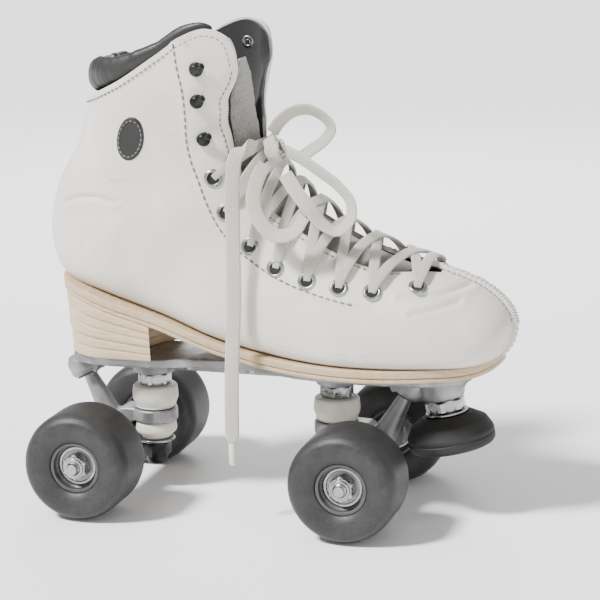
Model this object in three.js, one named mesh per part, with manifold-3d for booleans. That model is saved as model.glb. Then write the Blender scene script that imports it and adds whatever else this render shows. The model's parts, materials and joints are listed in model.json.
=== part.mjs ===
// A right-foot quad roller skate: a laced leather boot on a stacked heel, bolted to a cast plate with two
// sprung trucks, four wheels on ball bearings and a screwed toe stop.
// Millimetres. X points to the toe, Y to the wearer's left, Z up. While the parts are being made, X = 0 is
// midway between the axles and Z = 0 is the ground. The last lines move the origin under the middle of the skate.
import * as THREE from "three";
import { mergeVertices } from "three/addons/utils/BufferGeometryUtils.js";
import Module from "manifold-3d";

const wasm = await Module();
wasm.setup();

// ---------------------------------------------------------------- driving dimensions
const GAP = 0.3; // between pieces that touch on the real skate

const WHEEL = { radius: 31, half: 19, sides: 36, offset: 55.5 };
const HUB = { outer: 14.2, mouth: 12.6, half: 15.5, web: 4 };
const BEARING = { bore: 4, outer: 11, start: 4.3, width: 7 };
const AXLE = { x: 77, z: WHEEL.radius * Math.cos(Math.PI / WHEEL.sides), radius: 3.7, reach: 75 };
const AXLE_NUT = { flats: 13, start: 67.2, height: 5.5 };

const PLATE = { top: 82.7, thickness: 5, rib: 73.5 };
const KINGPIN = { x: 55, radius: 4.7, top: 80, head: 28, headBottom: 19.5, tip: 15 };
const JAM_NUT = { flats: 17, bottom: 62.8, top: 69.6 };
const RING = { z: 45, half: 3.7, outer: 13, bore: 7.4 };
const UPPER_CUSHION = { bottom: 49.2, top: 62.4, radius: 13.2 };
const LOWER_CUSHION = { bottom: 30.7, top: 40.9, radius: 12 };
const RETAINER = { bottom: 28.4, top: 30.4, radius: 11 };
const PIVOT = { x: 97, z: 68.5, ball: 5, cup: 7.6, housing: 9.8 };
const TOE_STOP = { x: 122.5, z: 38.5, lean: 11, radius: 24.5, stem: 7.6, stemTop: 43 };

const LEATHER = 2.4;
const LINING = 3;
const SOLE = { midsole: 2.2, outsole: 2.4, welt: 2 };
const HEEL = { lifts: 5, middle: -75.5, half: 30, breast: -46, hollow: 26, taper: 2.5 };
const LACE = { width: 8, strap: 6, thick: 1.6 }; // the lace bunches up where it is pulled tight

// ---------------------------------------------------------------- small geometry tools
const rad = (degrees) => (degrees * Math.PI) / 180;
const lerp = (a, b, t) => a + (b - a) * t;

// A closed three.js geometry as a manifold-3d solid.
function solid(geometry) {
  const flat = geometry.index ? geometry.toNonIndexed() : geometry.clone();
  const bare = new THREE.BufferGeometry().setAttribute("position", flat.getAttribute("position"));
  const merged = mergeVertices(bare, 1e-3);
  return new wasm.Manifold(
    new wasm.Mesh({
      numProp: 3,
      vertProperties: new Float32Array(merged.attributes.position.array),
      triVerts: new Uint32Array(merged.index.array),
    }),
  );
}

// A manifold-3d solid as a three.js geometry.
function shell(made) {
  const mesh = made.getMesh();
  const position = new Float32Array(mesh.numVert * 3);
  for (let i = 0; i < mesh.numVert; i++) {
    position.set(mesh.vertProperties.subarray(i * mesh.numProp, i * mesh.numProp + 3), i * 3);
  }
  return new THREE.BufferGeometry()
    .setAttribute("position", new THREE.BufferAttribute(position, 3))
    .setIndex(new THREE.BufferAttribute(new Uint32Array(mesh.triVerts), 1));
}

const join = (...parts) => parts.reduce((a, b) => a.add(b));
const cut = (part, ...tools) => tools.reduce((a, b) => a.subtract(b), part);

// A turned solid about Z from [radius, z] points that run from the bottom up on the outside.
function turned(profile, segments = 24) {
  const closed = profile[0][0] > 0 ? [...profile, profile[0]] : profile;
  const lathe = new THREE.LatheGeometry(
    closed.map(([r, z]) => new THREE.Vector2(r, z)),
    segments,
  );
  lathe.rotateX(Math.PI / 2);
  return signedVolume(lathe) < 0 ? flipped(lathe) : lathe;
}

// A plain or bored disc about Z between two heights.
function disc(radius, bottom, top, bore = 0, segments = 20) {
  return turned([[bore, bottom], [radius, bottom], [radius, top], [bore, top]], segments);
}

// A block between two corners.
function box(low, high) {
  const size = low.map((v, k) => high[k] - v);
  return new THREE.BoxGeometry(...size).translate(...low.map((v, k) => v + size[k] / 2));
}

const biggest = (made) => made.decompose().reduce((a, b) => (b.volume() > a.volume() ? b : a));

function hexNut(flats, bottom, top, bore) {
  const corner = flats / Math.sqrt(3);
  const shape = new THREE.Shape();
  for (let i = 0; i < 6; i++) {
    const a = rad(60 * i + 30);
    const at = [corner * Math.cos(a), corner * Math.sin(a)];
    if (i === 0) shape.moveTo(...at);
    else shape.lineTo(...at);
  }
  shape.closePath();
  if (bore > 0) shape.holes.push(new THREE.Path().absarc(0, 0, bore, 0, 2 * Math.PI, true));
  const settings = { depth: top - bottom, bevelEnabled: false, curveSegments: 8 };
  return new THREE.ExtrudeGeometry(shape, settings).translate(0, 0, bottom);
}

// A side-view outline, [x, z] points, pulled out to both sides of Y = 0.
function sidePrism(points, halfWidth) {
  const shape = new THREE.Shape(points.map(([x, z]) => new THREE.Vector2(x, z)));
  const settings = { depth: 2 * halfWidth, bevelEnabled: false };
  return new THREE.ExtrudeGeometry(shape, settings).rotateX(Math.PI / 2).translate(0, halfWidth, 0);
}

// A plan-view outline, [x, y] points, pulled up from one height to another.
function planPrism(points, bottom, top) {
  const shape = new THREE.Shape(points.map(([x, y]) => new THREE.Vector2(x, y)));
  return new THREE.ExtrudeGeometry(shape, { depth: top - bottom, bevelEnabled: false }).translate(0, 0, bottom);
}

// A closed skin over rings of points, each ring an array of [x, y, z] with the same count, capped at both ends.
function skin(rings) {
  const n = rings[0].length;
  const position = [];
  const index = [];
  const middle = (ring) => [0, 1, 2].map((k) => ring.reduce((sum, p) => sum + p[k], 0) / n);
  rings.forEach((ring) => ring.forEach((p) => position.push(...p)));
  position.push(...middle(rings[0]), ...middle(rings[rings.length - 1]));
  const first = rings.length * n;
  const last = first + 1;
  for (let j = 0; j < n; j++) {
    const k = (j + 1) % n;
    for (let i = 0; i + 1 < rings.length; i++) {
      const [a, b] = [i * n, (i + 1) * n];
      index.push(a + j, b + j, b + k, a + j, b + k, a + k);
    }
    const end = (rings.length - 1) * n;
    index.push(first, j, k, last, end + k, end + j);
  }
  const geometry = new THREE.BufferGeometry();
  geometry.setAttribute("position", new THREE.BufferAttribute(new Float32Array(position), 3));
  geometry.setIndex(index);
  return signedVolume(geometry) < 0 ? flipped(geometry) : geometry;
}

function signedVolume(geometry) {
  const p = geometry.getAttribute("position");
  const [a, b, c] = [new THREE.Vector3(), new THREE.Vector3(), new THREE.Vector3()];
  let sum = 0;
  for (let i = 0; i < geometry.index.count; i += 3) {
    a.fromBufferAttribute(p, geometry.index.getX(i));
    b.fromBufferAttribute(p, geometry.index.getX(i + 1));
    c.fromBufferAttribute(p, geometry.index.getX(i + 2));
    sum += a.dot(b.cross(c));
  }
  return sum;
}

function flipped(geometry) {
  const index = geometry.index.array;
  for (let i = 0; i < index.length; i += 3) {
    [index[i + 1], index[i + 2]] = [index[i + 2], index[i + 1]];
  }
  return geometry;
}

// A Catmull-Rom value at parameter s through numbers held at whole parameters.
function through(values, s) {
  const last = values.length - 1;
  const i = Math.min(Math.max(Math.floor(s), 0), last - 1);
  const t = s - i;
  const at = (k) => values[Math.min(Math.max(k, 0), last)];
  const [p, q, r, w] = [at(i - 1), at(i), at(i + 1), at(i + 2)];
  return 0.5 * (2 * q + (r - p) * t + (2 * p - 5 * q + 4 * r - w) * t * t + (3 * q - p - 3 * r + w) * t * t * t);
}

// Points along a smooth curve through [x, z] points.
function smoothLine(points, count) {
  const curve = new THREE.CatmullRomCurve3(points.map(([x, z]) => new THREE.Vector3(x, 0, z)), false, "centripetal");
  return curve.getPoints(count).map((p) => [p.x, p.z]);
}

// ---------------------------------------------------------------- the last: the boot's outer form
// Each station is a slice that holds Y: its top or front point, its base or back point, its half width,
// where between the two it is widest, how square its top and base ends are, and the throat's half opening.
const STATIONS = [
  { top: [156.4, 108], base: [156, 103], half: 7, widest: 0.5, square: [2, 2], side: 3, throat: 0 },
  { top: [154, 116.5], base: [153.2, 98], half: 21, widest: 0.6, square: [2, 2.6], side: 3, throat: 0 },
  { top: [147.5, 125], base: [147, 94.6], half: 31, widest: 0.66, square: [2, 3.4], side: 3, throat: 0 },
  { top: [136, 132.5], base: [136, 92], half: 39, widest: 0.7, square: [2, 4.2], side: 2.5, throat: 0 },
  { top: [117, 139.5], base: [117, 89.6], half: 45, widest: 0.73, square: [2, 4.6], side: 1.5, throat: 9 },
  { top: [92, 147.5], base: [90, 88.8], half: 47.5, widest: 0.75, square: [2, 4.6], side: 0, throat: 24 },
  { top: [66, 159], base: [60, 88.8], half: 46, widest: 0.75, square: [2, 4.6], side: -1, throat: 26.5 },
  { top: [43, 174.5], base: [28, 90.5], half: 41.5, widest: 0.72, square: [2.1, 4], side: -1, throat: 26 },
  { top: [27, 188.5], base: [-8, 96.5], half: 37, widest: 0.7, square: [2.2, 3.6], side: -0.5, throat: 24.5 },
  { top: [18, 200.5], base: [-42, 107.5], half: 34.5, widest: 0.68, square: [2.4, 3.2], side: 0, throat: 23.5 },
  { top: [14, 212], base: [-76, 117], half: 34, widest: 0.64, square: [2.7, 2.8], side: 0, throat: 23.5 },
  { top: [13, 222], base: [-101.5, 125], half: 33.5, widest: 0.58, square: [3, 2.4], side: 0, throat: 24.5 },
  { top: [13, 229], base: [-112, 140], half: 33.5, widest: 0.55, square: [3.2, 2.2], side: 0, throat: 26 },
  { top: [14, 235], base: [-113, 160], half: 34, widest: 0.52, square: [3.4, 2.2], side: 0, throat: 27.5 },
  { top: [15, 241], base: [-107, 182], half: 34.5, widest: 0.5, square: [3.6, 2.2], side: 0, throat: 29 },
  { top: [16, 249], base: [-95, 203], half: 35.5, widest: 0.5, square: [4.4, 2.2], side: 0, throat: 30 },
  { top: [16.5, 260], base: [-89, 223], half: 37, widest: 0.5, square: [4.8, 2.2], side: 0, throat: 31.5 },
  { top: [17, 290], base: [-80, 268], half: 38.5, widest: 0.5, square: [4.8, 2.2], side: 0, throat: 33 },
];
const LAST_STATION = STATIONS.length - 1;
const column = (pick) => STATIONS.map(pick);
const LAST = {
  topX: column((s) => s.top[0]),
  topZ: column((s) => s.top[1]),
  baseX: column((s) => s.base[0]),
  baseZ: column((s) => s.base[1]),
  half: column((s) => s.half),
  widest: column((s) => s.widest),
  squareTop: column((s) => s.square[0]),
  squareBase: column((s) => s.square[1]),
  side: column((s) => s.side),
  throat: column((s) => s.throat),
};

// The slice at parameter s, moved inwards by inset.
function slice(s, inset = 0) {
  const at = (name) => through(LAST[name], s);
  const tip = Math.max(0, 1 - s / 3) * inset;
  const top = new THREE.Vector2(at("topX") - tip, at("topZ"));
  const base = new THREE.Vector2(at("baseX") - tip, at("baseZ"));
  const along = base.clone().sub(top);
  const length = along.length();
  const step = along.divideScalar(length).multiplyScalar(inset);
  top.add(step);
  base.sub(step);
  return {
    top,
    base,
    half: Math.max(at("half") - inset, 0.5),
    widest: at("widest"),
    squareTop: at("squareTop"),
    squareBase: at("squareBase"),
    side: at("side"),
    throat: at("throat"),
  };
}

// A point of a slice: share runs from 0 at the top to 1 at the base, and y is across, before the last's side bend.
function onSlice(cutAt, share, y) {
  const x = lerp(cutAt.top.x, cutAt.base.x, share);
  const z = lerp(cutAt.top.y, cutAt.base.y, share);
  return [x, y + cutAt.side, z];
}

// The point of a slice at an angle round it, from its top at 0 to its base at half a turn.
function ringPoint(c, angle) {
  const [cos, sin] = [Math.cos(angle), Math.sin(angle)];
  const upper = cos > 0;
  const power = 2 / (upper ? c.squareTop : c.squareBase);
  const reach = Math.abs(cos) ** power;
  const share = upper ? c.widest * (1 - reach) : c.widest + (1 - c.widest) * reach;
  return onSlice(c, share, c.half * Math.sign(sin) * Math.abs(sin) ** power);
}

function sliceRing(s, inset, count) {
  const c = slice(s, inset);
  return Array.from({ length: count }, (_, i) => ringPoint(c, (2 * Math.PI * i) / count));
}

// The solid inside the last, moved inwards by inset. Faces that lie against each other share one grid.
const OUTER_GRID = { from: 0, steps: 26, count: 24 };
const MIDDLE_GRID = { from: 1, steps: 20, count: 20 };
const INNER_GRID = { from: 1.4, steps: 18, count: 18 };

function lastSolid(inset, { from, steps, count }) {
  const rings = [];
  for (let i = 0; i <= steps; i++) rings.push(sliceRing(lerp(from, LAST_STATION, i / steps), inset, count));
  return solid(skin(rings));
}

// The point of the outer form at parameter s and sideways distance y on its top or front side, lifted outwards.
function onTop(s, y, lift = 0) {
  const c = slice(s, -lift);
  const inside = Math.min(Math.abs(y) / c.half, 1);
  const share = c.widest * (1 - (1 - inside ** c.squareTop) ** (1 / c.squareTop));
  return new THREE.Vector3(...onSlice(c, share, y));
}

// The wedge between the two eyestays, widened by extra on each side.
function throatCutter(extra, from = 4, steps = 20) {
  const rings = [];
  for (let i = 0; i <= steps; i++) {
    const c = slice(lerp(from, LAST_STATION, i / steps));
    const open = Math.max(c.throat + extra, 0.5);
    rings.push([
      onSlice(c, -0.25, -open),
      onSlice(c, -0.25, open),
      onSlice(c, 0.33, open),
      onSlice(c, 0.33, -open),
    ]);
  }
  return solid(skin(rings));
}

// The boot's top line in side view, from the back of the heel to the front of the ankle.
const TOP_LINE = [
  [-130, 226], [-91, 230], [-62, 241], [-36, 257], [-20, 267.5],
  [-5, 272], [5.5, 267], [9.5, 254], [8.5, 240], [8, 228], [10.5, 214], [17, 201],
];

function aboveTopLine(raise) {
  const line = smoothLine(TOP_LINE, 26).map(([x, z]) => [x, z + raise]);
  return solid(sidePrism([...line, [60, 200], [60, 330], [-130, 330]], 80));
}

// The top line's height at x, behind the ears' fronts.
function topLine(x) {
  const line = smoothLine(TOP_LINE, 80).filter(([px]) => px < -6);
  const i = line.findIndex(([px]) => px >= x);
  if (i < 1) return line[i === 0 ? 0 : line.length - 1][1];
  const [[x0, z0], [x1, z1]] = [line[i - 1], line[i]];
  return lerp(z0, z1, (x - x0) / (x1 - x0));
}

// ---------------------------------------------------------------- boot
const INNER = LEATHER + GAP + LINING; // depth of the boot's inner wall under its outer form

// The hollow of the boot, raised so that it comes out of the top.
function openTopped(hollow) {
  const raised = hollow.translate([0, 0, 20]).intersect(solid(box([-130, -60, 250], [60, 60, 330])));
  return hollow.add(raised);
}

function bootUpper() {
  const outer = lastSolid(0, OUTER_GRID);
  return shell(cut(outer, openTopped(lastSolid(LEATHER, MIDDLE_GRID)), throatCutter(0), aboveTopLine(0)));
}

function bootLining() {
  const outer = lastSolid(LEATHER + GAP, MIDDLE_GRID);
  return shell(cut(outer, openTopped(lastSolid(INNER, INNER_GRID)), throatCutter(2, 3.9), aboveTopLine(-2)));
}

// Where the boot's wall, moved inwards by inset, meets the height that heightAt gives for its x.
function onWall(angle, inset, heightAt) {
  let [low, high] = [14, LAST_STATION];
  let point;
  for (let i = 0; i < 24; i++) {
    const s = (low + high) / 2;
    point = ringPoint(slice(s, inset), angle);
    if (point[2] < heightAt(point[0])) low = s;
    else high = s;
  }
  return point;
}

// The padded roll on the boot's top edge: fat behind the heel, fading out at the front of each side.
function collarRoll() {
  const rings = [];
  const steps = 26;
  for (let i = 0; i <= steps; i++) {
    const turn = lerp(-1, 1, i / steps);
    const rear = 1 - Math.abs(turn);
    const across = lerp(1.4, 6, Math.min(1, rear * 2));
    const tall = lerp(1.4, 9, Math.min(1, rear * 1.5) ** 0.9);
    const lift = lerp(0.2, 9.5, Math.min(1, rear * 1.5) ** 0.9);
    const centre = onWall(Math.PI * (1 + 0.58 * turn), 4.6, (x) => topLine(x) + lift);
    const outward = new THREE.Vector2(centre[0] + 40, centre[1]).normalize();
    rings.push(rollSection(centre, outward, across, tall));
  }
  const wall = cut(lastSolid(-GAP, OUTER_GRID), lastSolid(INNER + GAP, INNER_GRID));
  return shell(biggest(cut(solid(skin(rings)), cut(wall, aboveTopLine(GAP)))));
}

function rollSection([x, y, z], outward, across, tall) {
  const section = [];
  for (let j = 0; j < 8; j++) {
    const angle = (2 * Math.PI * j) / 8;
    const out = across * Math.cos(angle);
    section.push([x + outward.x * out, y + outward.y * out, z + tall * Math.sin(angle)]);
  }
  return section;
}

// The padded tongue under the eyestays, from the throat's end to between the ankle ears.
function tongue() {
  const rings = [];
  const [from, to, steps] = [4.7, 15.9, 18];
  for (let i = 0; i <= steps; i++) {
    const s = lerp(from, to, i / steps);
    const depth = INNER + 0.6 + Math.max(0, s - 11) * 0.9;
    const room = 0.9 * (through(LAST.half, s) - depth);
    const taper = 1 - 0.55 * Math.max(0, (s - 12.4) / 3.5) ** 2;
    const half = Math.min(through(LAST.throat, s) + 3, room) * taper * (i === 0 || i === steps ? 0.6 : 1);
    const thick = i === 0 || i === steps ? 2.5 : lerp(4, 7, Math.min(1, Math.max(0, (s - 7) / 6)));
    rings.push(layer(s, half, depth, thick));
  }
  return skin(rings);
}

// A closed strip across the boot's front at station s, thick inwards from depth under the outer form.
function layer(s, half, depth, thick) {
  const across = [-1, -0.85, -0.45, 0, 0.45, 0.85, 1].map((share) => share * half);
  const edge = (y) => (Math.abs(y) === half ? 0.25 * thick : 0);
  const front = across.map((y) => onTop(s, y, -depth - edge(y)).toArray());
  const { top, base } = slice(s);
  const inwards = base.clone().sub(top).normalize();
  const back = front.map(([x, y, z]) => [x + inwards.x * thick, 0.94 * y, z + inwards.y * thick]);
  return [...front, ...back.reverse()];
}

function footbed() {
  const inside = lastSolid(INNER + GAP, INNER_GRID);
  return shell(inside.intersect(soleBand(-(INNER + 3), INNER + 3)));
}

// ---------------------------------------------------------------- sole and heel
// The sole seen from above, from the inner side of the heel round the toe to the outer side.
const SOLE_PLAN = [
  [-107, 0], [-103.5, 14], [-93.5, 25], [-74, 30.5], [-45, 31.5], [-12, 33], [24, 37.5], [56, 45], [86, 48.5],
  [112, 46.5], [133, 39.5], [147.5, 27], [155, 11], [155.5, 0], [152.5, -13], [144, -26], [130, -35.5], [110, -42.5],
  [86, -46.5], [56, -45], [24, -39], [-12, -33], [-45, -31], [-74, -30.5], [-93.5, -25], [-103.5, -14],
];

function solePlan() {
  const curve = new THREE.CatmullRomCurve3(SOLE_PLAN.map(([x, y]) => new THREE.Vector3(x, y, 0)), true);
  return curve.getPoints(48).slice(0, 48).map((p) => [p.x, p.y]);
}

// The boot's base line in side view, from heel to toe, lowered by drop.
function baseLine(drop) {
  const points = STATIONS.slice(1, 12).map((s) => s.base);
  const line = smoothLine([[172, 112], ...points, [-125, 130]].reverse(), 30);
  return line.map(([x, z]) => [x, z - drop]);
}

// Everything between the base line lowered by drop and the same line a thickness further down.
function soleBand(drop, thickness) {
  return solid(sidePrism([...baseLine(drop), ...baseLine(drop + thickness).reverse()], 70));
}

function midsole() {
  const plan = solid(planPrism(solePlan(), 60, 160));
  const band = plan.intersect(soleBand(-SOLE.welt, SOLE.welt + GAP + SOLE.midsole));
  return shell(biggest(cut(band, lastSolid(-GAP, OUTER_GRID))));
}

const OUTSOLE_TOP = SOLE.midsole + 2 * GAP;
const OUTSOLE_BOTTOM = OUTSOLE_TOP + SOLE.outsole;

function outsole() {
  return shell(solid(planPrism(solePlan(), 60, 160)).intersect(soleBand(OUTSOLE_TOP, SOLE.outsole)));
}

// One lift of the stacked heel. Lifts lie flat at the bottom and fan out to the sole's slope at the top.
function heelLift(index) {
  const bottom = PLATE.top + GAP;
  const share = (k, z) => lerp(bottom, z - GAP, k / HEEL.lifts);
  const line = baseLine(OUTSOLE_BOTTOM).filter(([x]) => x < -25);
  const under = line.map(([x, z]) => [x, share(index, z) + (index ? GAP : 0)]);
  const over = line.map(([x, z]) => [x, share(index + 1, z)]);
  const slab = solid(sidePrism([...over, ...under.reverse()], 60));
  const inset = HEEL.taper * (1 - index / (HEEL.lifts - 1));
  return shell(slab.intersect(solid(planPrism(heelPlan(inset), 70, 140))));
}

// The heel seen from above: round at the back, hollowed at the breast.
function heelPlan(inset) {
  const half = HEEL.half - inset * 0.6;
  const shape = new THREE.Shape();
  shape.moveTo(HEEL.breast, half);
  shape.absarc(HEEL.middle + inset * 0.4, 0, half, Math.PI / 2, 1.5 * Math.PI, false);
  shape.lineTo(HEEL.breast, -half);
  shape.quadraticCurveTo(HEEL.breast - HEEL.hollow, 0, HEEL.breast, half);
  return shape.getPoints(9).slice(0, -1).map((p) => [p.x, p.y]);
}

// ---------------------------------------------------------------- plate
const PLATE_PLAN = [
  [-101.5, 0], [-100, 13], [-92, 21], [-72, 25], [-48, 24], [-24, 16], [12, 16], [34, 25], [62, 29], [96, 28.5],
  [118, 24], [131, 14], [134, 0],
];

// The pivot's own frame: at the middle of the ball, Z along the hanger's arm.
const ARM_FROM = [81, 38];
const ARM_LEAN = Math.atan2(PIVOT.x - ARM_FROM[0], PIVOT.z - ARM_FROM[1]);
const atPivot = (geometry) => geometry.rotateY(ARM_LEAN).translate(PIVOT.x, 0, PIVOT.z);

// The toe stop's own frame: at the middle of its face, Z up its stem.
const atToeStop = (geometry) => geometry.rotateY(-rad(TOE_STOP.lean)).translate(TOE_STOP.x, 0, TOE_STOP.z);

function plate() {
  const mirrored = [...PLATE_PLAN, ...PLATE_PLAN.slice(1, -1).reverse().map(([x, y]) => [x, -y])];
  const curve = new THREE.CatmullRomCurve3(mirrored.map(([x, y]) => new THREE.Vector3(x, y, 0)), true);
  const outline = curve.getPoints(40).slice(0, 40).map((p) => [p.x, p.y]);
  const flange = solid(planPrism(outline, PLATE.top - PLATE.thickness, PLATE.top));
  const underside = PLATE.top - PLATE.thickness + 1;
  const rib = solid(sidePrism([[-92, underside], [-70, PLATE.rib], [86, PLATE.rib], [108, underside]], 8));
  const bosses = [1, -1].map((end) => turnAbout(truckBosses(), end));
  const whole = join(flange, rib, toeStopBoss(), ...bosses);
  const holes = [1, -1].map((end) => turnAbout(truckHoles(), end));
  return shell(cut(whole, ...holes, solid(atToeStop(disc(TOE_STOP.stem + GAP, 20, 60)))));
}

// The front truck's place, or the rear one's half a turn round.
const turnAbout = (made, end) => (end > 0 ? made : made.rotate([0, 0, 180]));

function truckBosses() {
  const cap = PLATE.top - 2;
  const boss = turned([[0, 70], [11.5, 70], [13, 73], [19, cap], [0, cap]], 24).translate(KINGPIN.x, 0, 0);
  const wide = PIVOT.housing;
  const housing = atPivot(turned([[0, -2], [wide - 1, -2], [wide, 0], [wide, 7], [7, 11], [0, 11]]));
  const spine = sidePrism([[PIVOT.x - 14, cap], [PIVOT.x - 8, 68], [PIVOT.x + 2, 74], [PIVOT.x + 4, cap]], 7);
  return join(solid(boss), solid(housing), solid(spine));
}

function truckHoles() {
  const pin = disc(KINGPIN.radius + GAP, 60, KINGPIN.top + GAP).translate(KINGPIN.x, 0, 0);
  const wide = PIVOT.cup + GAP;
  const socket = turned([[0, -8], [wide, -8], [wide, 2.1], [wide - 1.6, 6.5], [0, wide + 0.2]]);
  return join(solid(pin), solid(atPivot(socket)));
}

function toeStopBoss() {
  const boss = atToeStop(turned([[0, 27.8], [11.5, 27.8], [12.5, 31], [13.5, 42], [0, 42]], 24));
  const gusset = sidePrism([[100, 79], [108, 70], [126, 69], [133, 79]], 4);
  const room = solid(box([60, -40, 40], [160, 40, PLATE.top - 1]));
  return join(solid(boss), solid(gusset)).intersect(room);
}

// ---------------------------------------------------------------- trucks
const alongY = (geometry, x, z) => geometry.rotateX(-Math.PI / 2).translate(x, 0, z);

function hanger() {
  const halfTube = [[8.5, 33], [5.6, 34.5], [5.6, 43.8], [0, 43.8]];
  const tubeProfile = [...halfTube.map(([r, z]) => [r, -z]).reverse(), ...halfTube];
  const tube = alongY(turned(tubeProfile), AXLE.x, AXLE.z);
  const ring = disc(RING.outer, RING.z - RING.half, RING.z + RING.half, 0, 24).translate(KINGPIN.x, 0, 0);
  const web = sidePrism([[64, 48.5], [64, 41.6], [68.4, 40], [70, 31], [84, 30], [86, 36], [82, 43], [74, 48.5]], 8);
  const wings = planPrism([[67.5, -9], [71, -25], [81, -27], [81, 27], [71, 25], [67.5, 9]], 29, 38);
  const reach = Math.hypot(PIVOT.x - ARM_FROM[0], PIVOT.z - ARM_FROM[1]);
  const arm = atPivot(turned([[0, -reach], [7.5, -reach], [4.1, -5], [3.6, 0], [0, 0]], 16));
  const ball = atPivot(new THREE.SphereGeometry(PIVOT.ball, 16, 10));
  const body = join(solid(tube), solid(ring), solid(web), solid(wings), solid(arm), solid(ball));
  const kingpinHole = disc(RING.bore, 35, 55, 0, 24).translate(KINGPIN.x, 0, 0);
  const axleHole = alongY(disc(AXLE.radius + GAP, -60, 60), AXLE.x, AXLE.z);
  return shell(cut(body, solid(kingpinHole), solid(axleHole)));
}

function kingpin() {
  const stem = disc(KINGPIN.radius, KINGPIN.head - 1, KINGPIN.top, 0, 18);
  const head = hexNut(15, KINGPIN.headBottom, KINGPIN.head, 0);
  const [low, high] = [KINGPIN.tip, KINGPIN.headBottom + 1];
  const tip = turned([[0, low], [5, low], [6, low + 1.5], [6, high], [0, high]], 18);
  return shell(join(solid(stem), solid(head), solid(tip)));
}

function cushion({ bottom, top, radius }, narrow) {
  const bore = KINGPIN.radius + GAP;
  const height = top - bottom;
  return turned([
    [bore, bottom], [radius - narrow, bottom], [radius, bottom + 0.35 * height], [radius, top - 1.5],
    [radius - 1.2, top], [bore, top],
  ]);
}

function pivotCup() {
  const [wide, inner] = [PIVOT.cup, PIVOT.ball + GAP];
  return atPivot(turned([
    [inner + 0.6, -3], [wide, -3], [wide, 2], [wide - 1.6, 6.2], [0.01, wide],
    [0.01, inner + 0.1], [3.6, 4.1], [inner + 0.1, 0.6],
  ], 14));
}

function axle() {
  const [r, end] = [AXLE.radius, AXLE.reach];
  const rod = turned([[0, -end], [r - 0.8, -end], [r, -end + 1.2], [r, end - 1.2], [r - 0.8, end], [0, end]], 16);
  return alongY(rod, AXLE.x, AXLE.z);
}

// ---------------------------------------------------------------- wheels, made about Y at the wheel's middle
const TYRE_SIDE = [[14.6, 15.4], [19, 18.2], [24, 19], [27.6, 17.6], [30, 14.6], [WHEEL.radius, 11]];

function tyre() {
  const low = TYRE_SIDE.map(([r, z]) => [r, -z]);
  const made = turned([...low, ...[...TYRE_SIDE].reverse()], WHEEL.sides);
  // Turned so that one flat of the tread faces down.
  return made.rotateZ(Math.PI / WHEEL.sides + Math.PI / 2).rotateX(-Math.PI / 2);
}

function hub() {
  const [seat, edge] = [BEARING.outer + GAP, BEARING.start + BEARING.width];
  return turned([
    [6.4, -HUB.web], [seat, -HUB.web], [seat, -edge], [HUB.mouth, -edge - 1], [HUB.mouth, -HUB.half],
    [HUB.outer, -HUB.half], [HUB.outer, HUB.half], [HUB.mouth, HUB.half], [HUB.mouth, edge + 1], [seat, edge],
    [seat, HUB.web], [6.4, HUB.web],
  ], 18).rotateX(-Math.PI / 2);
}

// A sealed ball bearing on one side of the wheel.
function bearing(side) {
  const [near, far] = [BEARING.start, BEARING.start + BEARING.width];
  const made = turned([
    [BEARING.bore, near], [BEARING.outer, near], [BEARING.outer, far], [9.2, far], [9, far - 0.5], [6.4, far - 0.5],
    [6.2, far], [BEARING.bore, far],
  ], 16);
  return made.rotateX((-side * Math.PI) / 2);
}

function axleNut(side) {
  const { flats, start, height } = AXLE_NUT;
  return hexNut(flats, start, start + height, AXLE.radius + GAP).rotateX((-side * Math.PI) / 2);
}

// ---------------------------------------------------------------- toe stop, in its own frame
function toeStopRubber() {
  const { radius, stem } = TOE_STOP;
  return turned([
    [0, 0], [radius - 1.5, 0], [radius, 2], [radius, 8], [radius - 3, 14], [14, 18.6], [stem + GAP, 19],
    [stem + GAP, 8], [0, 8],
  ], 32);
}

// ---------------------------------------------------------------- laces
// A flat strip through points, its width along the matching side directions.
function flatLace(points, sides, steps) {
  const route = new THREE.CatmullRomCurve3(points.map((p) => new THREE.Vector3(...p)), false, "centripetal");
  const rings = [];
  for (let i = 0; i <= steps; i++) {
    const t = i / steps;
    const centre = route.getPoint(t);
    const along = route.getTangent(t);
    const place = t * (sides.length - 1);
    const k = Math.min(Math.floor(place), sides.length - 2);
    const across = new THREE.Vector3(...sides[k]).lerp(new THREE.Vector3(...sides[k + 1]), place - k);
    across.addScaledVector(along, -across.dot(along)).normalize();
    const normal = new THREE.Vector3().crossVectors(along, across);
    rings.push(stripSection(centre, across, normal, LACE.width));
  }
  return skin(rings);
}

function stripSection(centre, across, normal, width) {
  const [w, h] = [width / 2, LACE.thick / 2];
  const corners = [[-w, -h], [w, -h], [w, h], [-w, h]];
  return corners.map(([a, b]) => centre.clone().addScaledVector(across, a).addScaledVector(normal, b).toArray());
}

// The eyelets from the toe end up to the ankle: each one's station on the last and its distance from the middle.
const EYELETS = [
  [4.37, 27.6], [5.18, 36.4], [5.84, 38], [6.47, 38.2], [7.19, 36.4], [8, 33.2], [8.9, 30.8], [9.95, 29.4],
];

// A strap over the tongue from the eyelet of one row to the next row's on the other side.
function crossing(from, to, side) {
  const rings = [];
  const steps = 6;
  for (let i = 0; i <= steps; i++) {
    const t = i / steps;
    const s = lerp(EYELETS[from][0], EYELETS[to][0], t);
    const y = side * lerp(EYELETS[from][1], -EYELETS[to][1], t);
    rings.push(strapRing(s, y, side));
  }
  return solid(skin(rings));
}

function strapRing(s, y, side) {
  const centre = onTop(s, y, 1.9 + LACE.thick + (side > 0 ? 0.4 : 0));
  const normal = onTop(s, y, 3).sub(onTop(s, y, 0)).normalize();
  const across = onTop(s + 0.1, y, 0).sub(onTop(s - 0.1, y, 0)).normalize();
  across.addScaledVector(normal, -across.dot(normal)).normalize();
  return stripSection(centre, across, normal, LACE.strap);
}

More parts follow.
